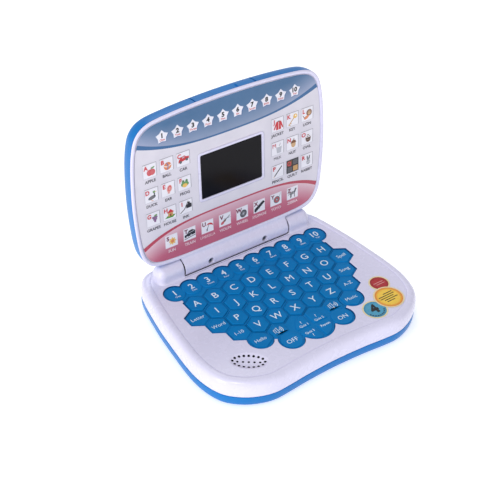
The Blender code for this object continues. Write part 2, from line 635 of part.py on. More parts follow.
def make_screen():
    middle = Vector((0, SCREEN_Y))
    lens = slab("lcd_window", [p + middle for p in rounded_rectangle(SCREEN_W, SCREEN_H, 1 * MM)],
                1.2 * MM, CARD_Z, material("screen_dark", (0.012, 0.012, 0.016), 0.08))
    module = slab("lcd_module", [p + middle for p in rounded_rectangle(SCREEN_W + 4 * MM, SCREEN_H + 4 * MM, 1 * MM)],
                  -3.6 * MM, PLATE_BACK_Z - GAP, material("module_grey", (0.1, 0.12, 0.1), 0.4))
    return [lens, module]


def make_hinge_pins():
    steel = material("screw_steel", (0.5, 0.5, 0.52), 0.35, 1.0)
    for name, side in (("hinge_pin_left", -1), ("hinge_pin_right", 1)):
        near, far = sorted((side * 46 * MM, side * 63 * MM))
        turned(name, [(PIN_R - 0.5 * MM, near), (PIN_R, near + 0.5 * MM), (PIN_R, far - 0.5 * MM),
                      (PIN_R - 0.5 * MM, far)], "X", (0, HINGE_Y, HINGE_Z), steel)


def main():
    for old in list(bpy.data.objects):
        bpy.data.objects.remove(old)
    outline = spline_loop(BASE_HALF, 3)
    make_top_shell(outline)
    make_bottom_shell(outline)
    make_base_fittings()
    make_keypad()
    make_hinge_pins()
    axis = bpy.data.objects.new("lid_hinge_axis", None)
    bpy.context.collection.objects.link(axis)
    axis.location = (0, HINGE_Y, HINGE_Z)
    axis.rotation_euler.x = math.radians(90) - LID_LEAN
    make_lid(axis)


main()
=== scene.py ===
"""Looks of the toy laptop computer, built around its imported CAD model."""
import json
import math
from contextlib import contextmanager

import bmesh
import bpy
from mathutils import Matrix, Vector
from mathutils.geometry import delaunay_2d_cdt


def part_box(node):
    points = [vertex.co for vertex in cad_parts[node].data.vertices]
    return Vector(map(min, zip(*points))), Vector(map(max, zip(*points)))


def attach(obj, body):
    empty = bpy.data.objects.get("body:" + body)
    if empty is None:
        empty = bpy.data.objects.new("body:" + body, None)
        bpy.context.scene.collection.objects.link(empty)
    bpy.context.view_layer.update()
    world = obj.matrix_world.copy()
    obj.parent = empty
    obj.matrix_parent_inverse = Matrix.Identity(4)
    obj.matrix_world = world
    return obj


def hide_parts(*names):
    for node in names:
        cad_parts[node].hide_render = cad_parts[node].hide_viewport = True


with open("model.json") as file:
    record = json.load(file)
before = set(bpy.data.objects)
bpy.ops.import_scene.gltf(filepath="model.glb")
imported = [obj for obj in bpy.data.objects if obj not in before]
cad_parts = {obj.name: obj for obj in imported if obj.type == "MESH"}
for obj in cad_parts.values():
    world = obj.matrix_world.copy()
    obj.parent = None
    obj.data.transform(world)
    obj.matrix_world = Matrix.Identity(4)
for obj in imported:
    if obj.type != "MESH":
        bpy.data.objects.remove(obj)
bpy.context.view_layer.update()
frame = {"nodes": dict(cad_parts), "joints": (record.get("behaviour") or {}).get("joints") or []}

MM = 0.001


def under(node):
    """The point on the table below the middle of a CAD node."""
    middle = sum(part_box(node), Vector()) / 2
    return Vector((middle.x, middle.y, 0))


# Driving values, read from the frame
KEY_A, KEY_H = under("key_a"), under("key_h")
PITCH = (KEY_H.x - KEY_A.x) / 7
ROW_Y = KEY_A.y
ROW_STEP = PITCH * math.sqrt(3) / 2
KEY_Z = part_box("key_a")[1].z
KEY_BOTTOM_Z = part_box("key_a")[0].z
WEB_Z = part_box("keypad_web")[1].z
FLOOR_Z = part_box("base_bottom_shell")[0].z
HINGE = Vector(next(joint for joint in frame["joints"] if joint["name"] == "hinge_lid")["pos_m"])
FEET = [under(f"rubber_foot_{i}") for i in (1, 2, 3, 4)]
CASE_SCREWS = [under(f"case_screw_{i}") for i in (1, 2, 3, 4)]
DOOR_SCREW = under("battery_door_screw")
DOOR_LOW, DOOR_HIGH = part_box("battery_door")

# Base, as in the CAD model
PANEL_Z = KEY_Z + 0.6 * MM
RIM_Z = KEY_Z + 0.9 * MM
SPLIT_Z = 11.0 * MM
BAY_MIDDLE_Y = ROW_Y - 24 * MM
BAY_HALF = Vector((29.0, 23.2, 0)) * MM
BAY_TOP = 18.4 * MM
WALL = 1.2  # millimetres
DOOR_GAP = 0.3 * MM

# Hinge and lid, as in the CAD model
BARREL_R = 8.5 * MM
BARREL_HALF = 53.6 * MM
KNUCKLE_IN = 54.8 * MM
KNUCKLE_OUT = 78.5 * MM
TROUGH_R = 9.4 * MM
LID_LEAN = math.radians(5.4)
LID_BASE = -5.45 * MM
CARD_Z = 2.4 * MM
PLATE_Z = 1.7 * MM
LID_SPLIT_Z = 1.9 * MM
SCREEN_W = 60.4 * MM
SCREEN_H = 40.6 * MM
SCREEN_Y = 79.2 * MM
SCREW_X = 28.0 * MM
HALF_SEAM = 0.15  # half the gap between two shells, in millimetres
LAYER = 0.05 * MM  # between printed shapes that overlap
CREASE = 32  # degrees, above which an edge of a cut shell stays sharp

# Outlines, in key pitches, right half from front to back: (across, along)
BASE_HALF = [(0, -5.66), (1.5, -5.71), (2.6, -5.8), (3.35, -5.82), (4.0, -5.66), (4.65, -5.33), (5.22, -4.8),
             (5.53, -4.15), (5.68, -3.3), (5.67, -2.4), (5.57, -1.35), (5.41, 0), (5.2, 1.2), (5.05, 1.9),
             (4.84, 2.5), (4.45, 2.93), (3.8, 3.1), (3.0, 3.12), (0, 3.12)]
LID_HALF = [(0, 0.78), (1.5, 0.78), (3.0, 0.8), (4.12, 0.92), (4.7, 1.3), (5.0, 2.1), (5.16, 3.9),
            (5.15, 5.6), (5.02, 6.9), (4.75, 7.65), (4.15, 8.08), (3.0, 8.25), (1.5, 8.34), (0, 8.37)]
CURVE_STEPS = 10

IN_PLACE = Matrix.Identity(4)
LID_FRAME = Matrix.Translation(HINGE) @ Matrix.Rotation(math.pi / 2 - LID_LEAN, 4, "X")
BASE_PLAN = Matrix.Translation((0, ROW_Y, 0))


def srgb(code):
    """Linear colour from a #rrggbb code."""
    parts = [int(code[i:i + 2], 16) / 255 for i in (1, 3, 5)]
    return tuple(c / 12.92 if c <= 0.04045 else ((c + 0.055) / 1.055) ** 2.4 for c in parts)


# Materials

def shader_of(name):
    made = bpy.data.materials.new(name)
    made.use_nodes = True
    return made, made.node_tree, made.node_tree.nodes["Principled BSDF"]


def link(tree, source, output, target, socket):
    tree.links.new(source.outputs[output], target.inputs[socket])


def preset(node, values):
    """Sets a node's inputs by name."""
    for name, value in values.items():
        node.inputs[name].default_value = value
    return node


def noise(tree, scale, detail=3.0):
    """Noise over the row frame, scale in cycles per metre."""
    made = preset(tree.nodes.new("ShaderNodeTexNoise"), {"Scale": scale, "Detail": detail})
    link(tree, tree.nodes.new("ShaderNodeTexCoord"), "Object", made, "Vector")
    return made


def ramp(tree, source, low, high):
    """Maps the middle of a noise's range to values between low and high."""
    made = preset(tree.nodes.new("ShaderNodeMapRange"),
                  {"From Min": 0.35, "From Max": 0.65, "To Min": low, "To Max": high})
    link(tree, source, "Fac", made, "Value")
    return made


def tinted(tree, shader, colour, shade, mask):
    """Base colour that drifts from colour to shade with a mask."""
    mix = tree.nodes.new("ShaderNodeMix")
    mix.data_type = "RGBA"
    preset(mix, {"A": (*colour, 1), "B": (*shade, 1)})
    link(tree, mask, 0, mix, "Factor")
    link(tree, mix, "Result", shader, "Base Color")


def grain(tree, shader, scale, depth):
    """Fine moulded surface: a bump whose depth is in metres."""
    made = preset(tree.nodes.new("ShaderNodeBump"), {"Distance": depth, "Strength": 1.0})
    link(tree, noise(tree, scale, 2.0), "Fac", made, "Height")
    link(tree, made, "Normal", shader, "Normal")


def plastic(name, colour, roughness, spread=0.03, drift=0.965, peel=0.002, coat=0.0, gloss=0.5):
    """Moulded plastic: slight colour drift, uneven gloss and a faint orange-peel surface."""
    made, tree, shader = shader_of(name)
    tinted(tree, shader, colour, tuple(c * drift for c in colour), ramp(tree, noise(tree, 35), 0, 1))
    link(tree, ramp(tree, noise(tree, 160), roughness - spread, roughness + spread), "Result", shader, "Roughness")
    grain(tree, shader, 900, peel * MM)
    preset(shader, {"Specular IOR Level": gloss, "Coat Weight": coat, "Coat Roughness": 0.12})
    return made


def metal(name, colour, roughness):
    """Plated steel with fine scratches."""
    made, tree, shader = shader_of(name)
    preset(shader, {"Metallic": 1.0})
    tinted(tree, shader, colour, tuple(c * 0.75 for c in colour), ramp(tree, noise(tree, 400), 0, 1))
    link(tree, ramp(tree, noise(tree, 2500), roughness - 0.08, roughness + 0.12), "Result", shader, "Roughness")
    grain(tree, shader, 3000, 0.01 * MM)
    return made


def printed(name, roughness):
    """Printed card or label: its colours come from the mesh, with a little uneven gloss and paper tooth."""
    made, tree, shader = shader_of(name)
    colours = tree.nodes.new("ShaderNodeVertexColor")
    colours.layer_name = "ink"
    mottle = tree.nodes.new("ShaderNodeMix")
    mottle.data_type = "RGBA"
    mottle.blend_type = "MULTIPLY"
    preset(mottle, {"B": (0.94, 0.94, 0.95, 1)})
    link(tree, ramp(tree, noise(tree, 60), 0, 1), 0, mottle, "Factor")
    link(tree, colours, "Color", mottle, "A")
    link(tree, mottle, "Result", shader, "Base Color")
    link(tree, ramp(tree, noise(tree, 300), roughness - 0.06, roughness + 0.08), "Result", shader, "Roughness")
    grain(tree, shader, 1500, 0.003 * MM)
    return made


MATERIALS = {
    "white": plastic("white_gloss_plastic", srgb("#dcd9f1"), 0.27, 0.012, 0.975, 0.001, coat=0.15),
    "blue": plastic("blue_gloss_plastic", srgb("#0073c0"), 0.33, 0.015, 0.95, 0.001, gloss=0.3),
    "keys": plastic("key_satin_plastic", srgb("#007abf"), 0.45, drift=0.93, peel=0.006, gloss=0.12),
    # web: a little darker than the keys, a painted shade for the grooves between them
    "web": plastic("keypad_web_plastic", srgb("#0074b8"), 0.5, drift=0.93, peel=0.006, gloss=0.12),
    "ink": plastic("white_key_ink", srgb("#dfeffc"), 0.45, drift=0.97),
    "print": printed("printed_card", 0.45),
    "label": printed("printed_label", 0.28),
    "steel": metal("zinc_plated_steel", (0.42, 0.41, 0.42), 0.35),
    "nickel": metal("nickel_spring_steel", (0.62, 0.6, 0.56), 0.28),
    "rubber": plastic("black_foot_rubber", srgb("#1b1b1f"), 0.7, drift=0.7, peel=0.03),
    "board": plastic("green_solder_mask", srgb("#14572f"), 0.4, drift=0.8),
    "paper": plastic("speaker_paper", srgb("#1c1b1d"), 0.75, drift=0.7, peel=0.05),
    "jacket": plastic("cell_jacket", srgb("#1f4a3a"), 0.3, drift=0.8),
    "module": plastic("display_module", srgb("#3c423c"), 0.4, drift=0.8),
    "screen": plastic("dark_display_window", srgb("#131216"), 0.14, spread=0.02, peel=0.0005, gloss=0.12),
    # gap: a dark blue painted shade for the wall of the key opening
    "gap": plastic("painted_gap_shade_blue", srgb("#17568f"), 0.6, gloss=0.2),
    # shade: a dark grey painted shade for the barrel trough, the grille holes, the barrel ends and the screw recesses
    "shade": plastic("painted_recess_shade", srgb("#26262e"), 0.6, gloss=0.2),
}


# Geometry helpers

def add_object(name, data):
    made = bpy.data.objects.new(name, data)
    bpy.context.scene.collection.objects.link(made)
    return made


def evaluated_mesh(piece):
    """A new mesh of the piece with its modifiers or its curves worked out."""
    bpy.context.view_layer.update()
    return bpy.data.meshes.new_from_object(piece.evaluated_get(bpy.context.evaluated_depsgraph_get()))


@contextmanager
def editing(piece):
    """A bmesh of the piece, written back when the changes are done."""
    work = bmesh.new()
    work.from_mesh(piece.data)
    yield work
    work.to_mesh(piece.data)
    work.free()


def build(name, vertices, faces, materials=()):
    """A mesh object from points and faces."""
    mesh = bpy.data.meshes.new(name)
    mesh.from_pydata([tuple(v) for v in vertices], [], faces)
    for made in materials:
        mesh.materials.append(MATERIALS[made])
    return add_object(name, mesh)


def tidy(piece, angle=35):
    """Outward faces, smooth shading and sharp edges above the angle in degrees."""
    with editing(piece) as work:
        bmesh.ops.remove_doubles(work, verts=work.verts, dist=0.0005 * MM)
        bmesh.ops.recalc_face_normals(work, faces=work.faces)
    piece.data.shade_smooth()
    piece.data.set_sharp_from_angle(angle=math.radians(angle))
    return piece


def even_shading(piece):
    """Lets the big flat faces decide the shading beside small rounded edges."""
    step = piece.modifiers.new("even_shading", "WEIGHTED_NORMAL")
    step.keep_sharp = True
    step.weight = 60


def boolean(target, operation, cutters):
    """Applies one Boolean per cutter and removes the cutters."""
    for cutter in cutters:
        if not cutter.data.materials:
            cutter.data.materials.append(target.data.materials[0])
        step = target.modifiers.new(operation, "BOOLEAN")
        step.operation = operation
        step.solver = "EXACT"
        step.material_mode = "TRANSFER"
        step.object = cutter
        result = evaluated_mesh(target)
        target.modifiers.remove(step)
        target.data = result
        bpy.data.objects.remove(cutter)


def place(piece, matrix, body, slot, *nodes):
    """Moves a finished piece into the row frame, hangs it under its body and hides the CAD nodes it stands for. The
    slot is not used.
    """
    piece.data.transform(matrix)
    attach(piece, body)
    if nodes:
        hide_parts(*nodes)


def finish_shell(piece, matrix, body, slot, node):
    """Cleans and shades a shell after its cuts, and places it."""
    tidy(piece, CREASE)
    even_shading(piece)
    place(piece, matrix, body, slot, node)


def spline_loop(half, steps):
    """A smooth closed loop through the half outline and its mirror image."""
    points = half + [(-x, y) for x, y in reversed(half[1:-1])]
    points = [Vector((x * PITCH, y * PITCH)) for x, y in points]
    count = len(points)
    loop = []
    for i in range(count):
        a, b, c, d = (points[(i + k) % count] for k in (-1, 0, 1, 2))
        for s in range(steps):
            t = s / steps
            loop.append(0.5 * (2 * b + (c - a) * t + (2 * a - 5 * b + 4 * c - d) * t * t
                               + (3 * b - a - 3 * c + d) * t ** 3))
    return loop


def grow(loop, distance):
    """Moves each edge of a counter-clockwise loop outwards, keeping its corners square."""
    grown = []
    count = len(loop)
    for i, point in enumerate(loop):
        before = (point - loop[i - 1]).normalized()
        after = (loop[(i + 1) % count] - point).normalized()
        normal = Vector((before.y + after.y, -before.x - after.x))
        if normal.length < 0.01:
            normal = Vector((before.y, -before.x))
        normal.normalize()
        reach = max(0.5, normal.dot(Vector((before.y, -before.x))))
        grown.append(point + normal * (distance / reach))
    return grown


def loft(name, sections, materials=()):
    """A body through sections of equal length, capped at both ends."""
    count = len(sections[0])
    vertices = [point for section in sections for point in section]
    faces = [list(range(count))[::-1], [len(vertices) - count + i for i in range(count)]]
    for s in range(len(sections) - 1):
        for i in range(count):
            j = (i + 1) % count
            faces.append([s * count + i, s * count + j, (s + 1) * count + j, (s + 1) * count + i])
    return build(name, vertices, faces, materials)


def rings(outline, profile):
    """Sections of an outline at (inset, height) steps in millimetres."""
    return [at_height(grow(outline, -inset * MM), height) for inset, height in profile]


def at_height(loop, height):
    """A flat loop lifted to a height in millimetres."""
    return [Vector((p.x, p.y, height * MM)) for p in loop]


def circle(radius, count, centre=(0, 0)):
    return [Vector((centre[0] + radius * math.cos(2 * math.pi * i / count),
                    centre[1] + radius * math.sin(2 * math.pi * i / count))) for i in range(count)]


def rounded(corners, radius, steps=4):
    """A counter-clockwise polygon with its corners rounded."""
    loop = []
    for i, corner in enumerate(corners):
        before = (corner - corners[i - 1]).normalized()
        after = (corners[(i + 1) % len(corners)] - corner).normalized()
        turn = before.angle(after)
        start = corner - before * radius * math.tan(turn / 2)
        centre = start + Vector((-before.y, before.x)) * radius
        loop += [centre + Matrix.Rotation(turn * s / steps, 2) @ (start - centre) for s in range(steps + 1)]
    return loop


def rectangle(width, height, radius, centre=(0, 0), steps=4):
    corners = [Vector((centre[0] + sx * width / 2, centre[1] + sy * height / 2))
               for sx, sy in ((-1, -1), (1, -1), (1, 1), (-1, 1))]
    return rounded(corners, radius, steps)


def turned(name, profile, centre=(0, 0, 0), materials=(), count=32, axis="Z"):
    """A turned body: (radius, distance along axis) steps in millimetres, from one end to the other."""
    turn = {"X": Matrix(((0, 0, 1), (1, 0, 0), (0, 1, 0))), "Z": Matrix.Identity(3)}[axis]
    sections = [[Vector(centre) + turn @ p for p in at_height(circle(radius * MM, count), along)]
                for radius, along in profile]
    return loft(name, sections, materials)


def box(low, high):
    corners = [(low[0], low[1]), (high[0], low[1]), (high[0], high[1]), (low[0], high[1])]
    return loft("box", [[Vector((x, y, z)) for x, y in corners] for z in (low[2], high[2])])


# Keypad plan

def hexagon(x, y, across):
    radius = across / math.sqrt(3)
    return [Vector((x + radius * math.sin(math.radians(60 * i)), y - radius * math.cos(math.radians(60 * i))))
            for i in range(6)]


def inside(point, outline):
    hit = False
    for i, b in enumerate(outline):
        a = outline[i - 1]
        if (a.y > point.y) != (b.y > point.y):
            if point.x < (b.x - a.x) * (point.y - a.y) / (b.y - a.y) + a.x:
                hit = not hit
    return hit


def within(outlines):
    """A test for points that lie inside any of the outlines."""
    boxes = [(min(p.x for p in o), max(p.x for p in o), min(p.y for p in o), max(p.y for p in o), o)
             for o in outlines]

    def test(point):
        return any(west <= point.x <= east and south <= point.y <= north and inside(point, outline)
                   for west, east, south, north, outline in boxes)
    return test


def triangulate(outlines):
    """The constrained triangulation of closed outlines: points and triangles."""
    points, edges = [], []
    for outline in outlines:
        start = len(points)
        points.extend(outline)
        edges.extend((start + i, start + (i + 1) % len(outline)) for i in range(len(outline)))
    plan, _, cells, _, _, _ = delaunay_2d_cdt(points, edges, [], 0, 0.002 * MM)
    return plan, cells


def merged_outlines(outlines, holes=()):
    """The outlines of the union of shapes, less the holes, as closed loops."""
    solid, empty = within(outlines), within(holes)
    plan, cells = triangulate(list(outlines) + list(holes))
    edges = set()
    for cell in cells:
        middle = sum((plan[i] for i in cell), Vector((0, 0))) / 3
        if solid(middle) and not empty(middle):
            edges.update((cell[i], cell[(i + 1) % 3]) for i in range(3))
    border = {a: b for a, b in edges if (b, a) not in edges}
    loops = []
    while border:
        start, here = next(iter(border.items()))
        loop = [start]
        del border[start]
        while here != start:
            loop.append(here)
            here = border.pop(here)
        loops.append(cleaned([plan[i] for i in loop]))
    return loops


def cleaned(loop):
    """Drops points that lie on a straight line or too close to the one before."""
    kept = [p for i, p in enumerate(loop) if (p - loop[i - 1]).length > 0.02 * MM]
    straight = []
    for i, point in enumerate(kept):
        before = (point - kept[i - 1]).normalized()
        after = (kept[(i + 1) % len(kept)] - point).normalized()
        if before.dot(after) < 0.99999:
            straight.append(point)
    return straight


def thinned(loop, gap):
    """Keeps only points that are at least a gap apart."""
    kept = [loop[0]]
    for point in loop[1:]:
        if (point - kept[-1]).length > gap and (point - loop[0]).length > gap:
            kept.append(point)
    return kept


def softened(loop, radius):
    """Rounds the sharp corners of a loop, inner and outer, and leaves its arcs alone."""
    soft = []
    count = len(loop)
    for i, corner in enumerate(loop):
        arrive, leave = corner - loop[i - 1], loop[(i + 1) % count] - corner
        before, after = arrive.normalized(), leave.normalized()
        turn = before.angle(after)
        if turn < math.radians(25):
            soft.append(corner)
            continue
        reach = min(radius * math.tan(turn / 2), 0.45 * arrive.length, 0.45 * leave.length)
        for t in (0.0, 0.25, 0.5, 0.75, 1.0):
            start, end = corner - before * reach, corner + after * reach
            soft.append(start.lerp(corner, t).lerp(corner.lerp(end, t), t))
    return soft


def soft_rings(loop, profile, radius):
    """Sections at (inset, height) steps in millimetres, each with its own rounded corners."""
    return [at_height(softened(grow(loop, -inset * MM), radius), height) for inset, height in profile]


def lattice(column, row):
    """The middle of a honeycomb cell: columns across in pitches, rows down from A to H."""
    return (column * PITCH, -row * ROW_STEP)


LETTER_ROWS = [("abcdefgh", -3.5), ("ijklmno", -3.0), ("pqrstu", -2.5), ("vwxyz", -2.0)]
LETTERS = {letter: lattice(start + i, row)
           for row, (letters, start) in enumerate(LETTER_ROWS) for i, letter in enumerate(letters)}
LEFT_CELLS = [lattice(-4.0, 1), lattice(-3.5, 2), lattice(-3.0, 3), lattice(-2.5, 4)]
RIGHT_CELLS = [(-x, y) for x, y in LEFT_CELLS]
LOWER_CELLS = [lattice(column, 4) for column in (-1.5, -0.5, 0.5, 1.5)]
NUMBERS = [((i - 4.5) * 0.875 * PITCH, 1.03 * PITCH) for i in range(10)]
NUMBER_R = 0.525 * PITCH
LOBE_R = 0.575 * PITCH
POWER = [(-1.38 * PITCH, -4.2 * PITCH), (1.38 * PITCH, -4.2 * PITCH)]
QUIZ = (0, -3.97 * PITCH)
QUIZ_R = 0.91 * PITCH
PLATEAU = 0.88 * PITCH
KEY_CORNER = 0.9 * MM
ROUND = 40
SEAM = 0.02 * MM  # overlap that joins neighbouring cells into one outline
OPENING_GAP = 0.5 * MM
KEY_GAP = 0.35 * MM
COUNT_WORDS = ("One", "Two", "Three", "Four", "Five", "Six", "Seven", "Eight", "Nine", "Ten")


def letter_cells(extra=0.0):
    return [hexagon(x, y, PITCH + 2 * extra) for x, y in LETTERS.values()]


def side_cells(cells, extra=0.0):
    return [hexagon(x, y, PITCH + 2 * extra) for x, y in cells] + [circle(LOBE_R + extra, ROUND, cells[-1])]


def lower_cells(extra=0.0):
    shapes = [hexagon(x, y, PITCH + 2 * extra) for x, y in LOWER_CELLS]
    shapes += [circle(LOBE_R + extra, ROUND, centre) for centre in POWER]
    return shapes + [circle(QUIZ_R + extra, 60, QUIZ)]


def number_cells(extra=0.0):
    (west, high), (east, _), low = NUMBERS[0], NUMBERS[-1], 0.3 * PITCH
    strip = [Vector(corner) for corner in ((west, low), (east, low), (east, high), (west, high))]
    return [circle(NUMBER_R + extra, ROUND, centre) for centre in NUMBERS] + [strip]


# Lettering and printed shapes

CAPITAL = 0.7  # capital height of the built-in font at size 1


def lettering(text, height, weight=0.0):
    """Flat letters of a given capital height, centred on the origin: points and faces."""
    curve = bpy.data.curves.new("lettering", "FONT")
    curve.body = text
    curve.resolution_u = 3
    curve.offset = 0 if "M" in text else weight  # a widened M crosses itself and fills in
    holder = add_object("lettering", curve)
    mesh = evaluated_mesh(holder)
    work = bmesh.new()
    work.from_mesh(mesh)
    bmesh.ops.remove_doubles(work, verts=work.verts, dist=0.0001)
    bmesh.ops.triangulate(work, faces=work.faces)
    points = [Vector(v.co.xy) for v in work.verts]
    faces = [[v.index for v in face.verts] for face in work.faces]
    work.free()
    bpy.data.objects.remove(holder)
    bpy.data.curves.remove(curve)
    bpy.data.meshes.remove(mesh)
    middle = Vector(((min(p.x for p in points) + max(p.x for p in points)) / 2, CAPITAL / 2))
    scale = height / CAPITAL
    return [(p - middle) * scale for p in points], faces


class Sheet:
    """Flat printed shapes that share one mesh and carry their own colours."""

    def __init__(self):
        self.points, self.faces, self.colours = [], [], []

    def add(self, points, faces, colours, layer):
        start = len(self.points)
        self.points.extend(Vector((p[0], p[1], layer * LAYER)) for p in points)
        self.faces.extend([start + i for i in face] for face in faces)
        self.colours.extend(colours)

    def shape(self, points, colour, layer):
        points = [Vector(p) for p in points]
        if sum(a.x * b.y - b.x * a.y for a, b in zip(points, points[1:] + points[:1])) < 0:
            points.reverse()
        _, cells = triangulate([points])
        test = within([points])
        faces = [c for c in cells if test(sum((points[i] for i in c), Vector((0, 0))) / 3)]
        self.add(points, faces, [colour] * len(points), layer)

    def blend(self, rows, colours, layer):
        """A patch between rows of points, one colour for each point."""
        width = len(rows[0])
        points = [p for row in rows for p in row]
        faces = [[r * width + i, r * width + i + 1, (r + 1) * width + i + 1, (r + 1) * width + i]
                 for r in range(len(rows) - 1) for i in range(width - 1)]
        self.add(points, faces, [c for row in colours for c in row], layer)

    def disc(self, centre, radius, rim, core, layer, squash=1.0, turn=0.0, count=28):
        """A round spot whose colour runs from rim to core."""
        spin = Matrix.Rotation(turn, 2)
        points, colours = [Vector(centre)], [core]
        for share in (0.75, 1.0):
            for p in circle(radius * share, count):
                points.append(Vector(centre) + spin @ Vector((p.x, p.y * squash)))
                colours.append(blend_colour(core, rim, 0.2) if share < 1 else rim)
        faces = [[0, 1 + i, 1 + (i + 1) % count] for i in range(count)]
        faces += [[1 + i, 1 + count + i, 1 + count + (i + 1) % count, 1 + (i + 1) % count] for i in range(count)]
        self.add(points, faces, colours, layer)

    def stroke(self, points, width, colour, layer):
        """A line of even width through the points."""
        points = [Vector(p) for p in points]
        left, right = [], []
        for i, point in enumerate(points):
            ahead = points[min(i + 1, len(points) - 1)] - points[max(i - 1, 0)]
            normal = Vector((-ahead.y, ahead.x)).normalized() * width / 2
            left.append(point + normal)
            right.append(point - normal)
        self.blend([right, left], [[colour] * len(points)] * 2, layer)

    def words(self, text, height, centre, colour, layer, weight=0.0, widest=1.0):
        points, faces = lettering(text, height, weight)
        squeeze = min(1.0, widest / 2 / max(p.x for p in points))
        points = [Vector((p.x * squeeze, p.y)) for p in points]
        self.add([p + Vector(centre) for p in points], faces, [colour] * len(points), layer)

    def make(self, name, material, height):
        """The printed mesh, its lowest layer at a height."""
        piece = build(name, [p + Vector((0, 0, height)) for p in self.points], self.faces, [material])
        ink = piece.data.color_attributes.new("ink", "FLOAT_COLOR", "POINT")
        for i, colour in enumerate(self.colours):
            ink.data[i].color = (*colour, 1)
        return piece


# Base

def knuckle(side):
    """One hinge knuckle: a rounded hump that flares into the panel at its foot."""
    rise = [(10.6, -4.95, 1.9), (9.9, -4.7, 1.3), (9.4, -4.3, 0.85), (9.0, -3.6, 0.45), (8.7, -2.6, 0.2),
            (8.55, -1.4, 0.05), (8.5, 0, 0)]
    for step in range(1, 9):
        angle = math.radians(10.9 * step)
        rise.append((8.5 * math.cos(angle), 8.5 * math.sin(angle), 5 * (math.cos(angle) - 1)))
    sections = []
    low_x = KNUCKLE_IN - 4 * MM
    for half, height, reach in rise:
        high_x = KNUCKLE_OUT + reach * MM
        corner = min(6.0, 0.9 * half) * MM
        loop = rectangle(high_x - low_x, 2 * half * MM, corner, ((high_x + low_x) / 2, 0), 8)
        sections.append([Vector((side * p.x, HINGE.y + p.y, HINGE.z + height * MM)) for p in loop])
    return tidy(loft("knuckle", sections))


def trough_cutter():
    """Room for the barrel: round below the axis, straight walls above it. All its faces, lip chamfer included, carry
    painted shade for the dark gap around the barrel.
    """
    section = [Vector((TROUGH_R * math.cos(a), TROUGH_R * math.sin(a)))
               for a in (math.radians(180 + 7.5 * i) for i in range(25))]
    lip = PANEL_Z - HINGE.z
    section += [Vector((TROUGH_R, lip - 0.5 * MM)), Vector((TROUGH_R + 0.6 * MM, lip + 0.1 * MM)),
                Vector((TROUGH_R + 0.6 * MM, 14 * MM)), Vector((-TROUGH_R - 0.3 * MM, 14 * MM)),
                Vector((-TROUGH_R - 0.3 * MM, lip + 0.05 * MM)), Vector((-TROUGH_R, lip - 0.25 * MM))]
    return loft("trough", [[Vector((x, HINGE.y + p.x, HINGE.z + p.y)) for p in section]
                           for x in (-KNUCKLE_IN, KNUCKLE_IN)], ["shade"])


def opening_cutter():
    """The scalloped key opening, its upper edge rounded over and its wall given a dark blue painted shade."""
    cells = (letter_cells(OPENING_GAP) + number_cells(OPENING_GAP) + side_cells(LEFT_CELLS, OPENING_GAP)
             + side_cells(RIGHT_CELLS, OPENING_GAP) + lower_cells(OPENING_GAP))
    loop = thinned(max(merged_outlines(cells), key=len), 0.6 * MM)
    panel = PANEL_Z / MM
    profile = [(0, panel - 6), (0, panel - 0.45), (-0.08, panel - 0.2), (-0.25, panel - 0.04),
               (-0.5, panel + 0.01), (-0.5, panel + 3)]
    cutter = tidy(loft("opening", soft_rings(loop, profile, 0.6 * MM), ["white", "gap"]))
    # faces below the rounded edge get the painted shade, the edge itself keeps the white
    for face in cutter.data.polygons:
        face.material_index = 1 if face.center.z < PANEL_Z - 0.4 * MM else 0
    cutter.data.transform(BASE_PLAN)
    return cutter


GRILLE_CENTRE = Vector((-3.69 * PITCH, -4.27 * PITCH))
GRILLE_TURN = Matrix.Rotation(math.radians(-36), 2)
GRILLE_ALONG = 0.69 * PITCH
GRILLE_ACROSS = 0.34 * PITCH
RING_HOLES = 16


def grille_cutters():
    """The shallow oval dish in front of the loudspeaker and the holes through it."""
    panel = PANEL_Z / MM
    bowl = [(0.35, -1.35), (0.62, -1.25), (0.8, -0.95), (0.93, -0.5), (1.02, -0.12), (1.08, 0.0), (1.1, 1.5)]
    wide, high = GRILLE_ALONG + 1.9 * MM, GRILLE_ACROSS + 2.2 * MM
    dish = loft("dish", [at_height([GRILLE_CENTRE + GRILLE_TURN @ Vector((p.x * wide, p.y * high))
                                    for p in circle(share, 64)], panel + depth) for share, depth in bowl])
    dish.data.transform(BASE_PLAN)

    # holes at even steps of the way round the oval, and a row across its middle
    oval = [Vector((GRILLE_ALONG * p.x, GRILLE_ACROSS * p.y)) for p in circle(1, 720)]
    steps = [(p - oval[i - 1]).length for i, p in enumerate(oval)]
    spots, walked = [], 0.0
    for point, step in zip(oval, steps):
        if walked >= len(spots) * sum(steps) / RING_HOLES and len(spots) < RING_HOLES:
            spots.append((point, 1.1))
        walked += step
    spots += [(Vector((0.24 * i, -0.02)) * PITCH, 1.0) for i in range(-2, 3)]
    # the holes' walls carry painted shade, for the dark inside of the grille
    return [tidy(dish)] + [
        turned("hole", [(radius, panel - 4), (radius, panel + 2)],
               BASE_PLAN @ (GRILLE_CENTRE + GRILLE_TURN @ point).to_3d(), ["shade"], 20)
        for point, radius in spots]


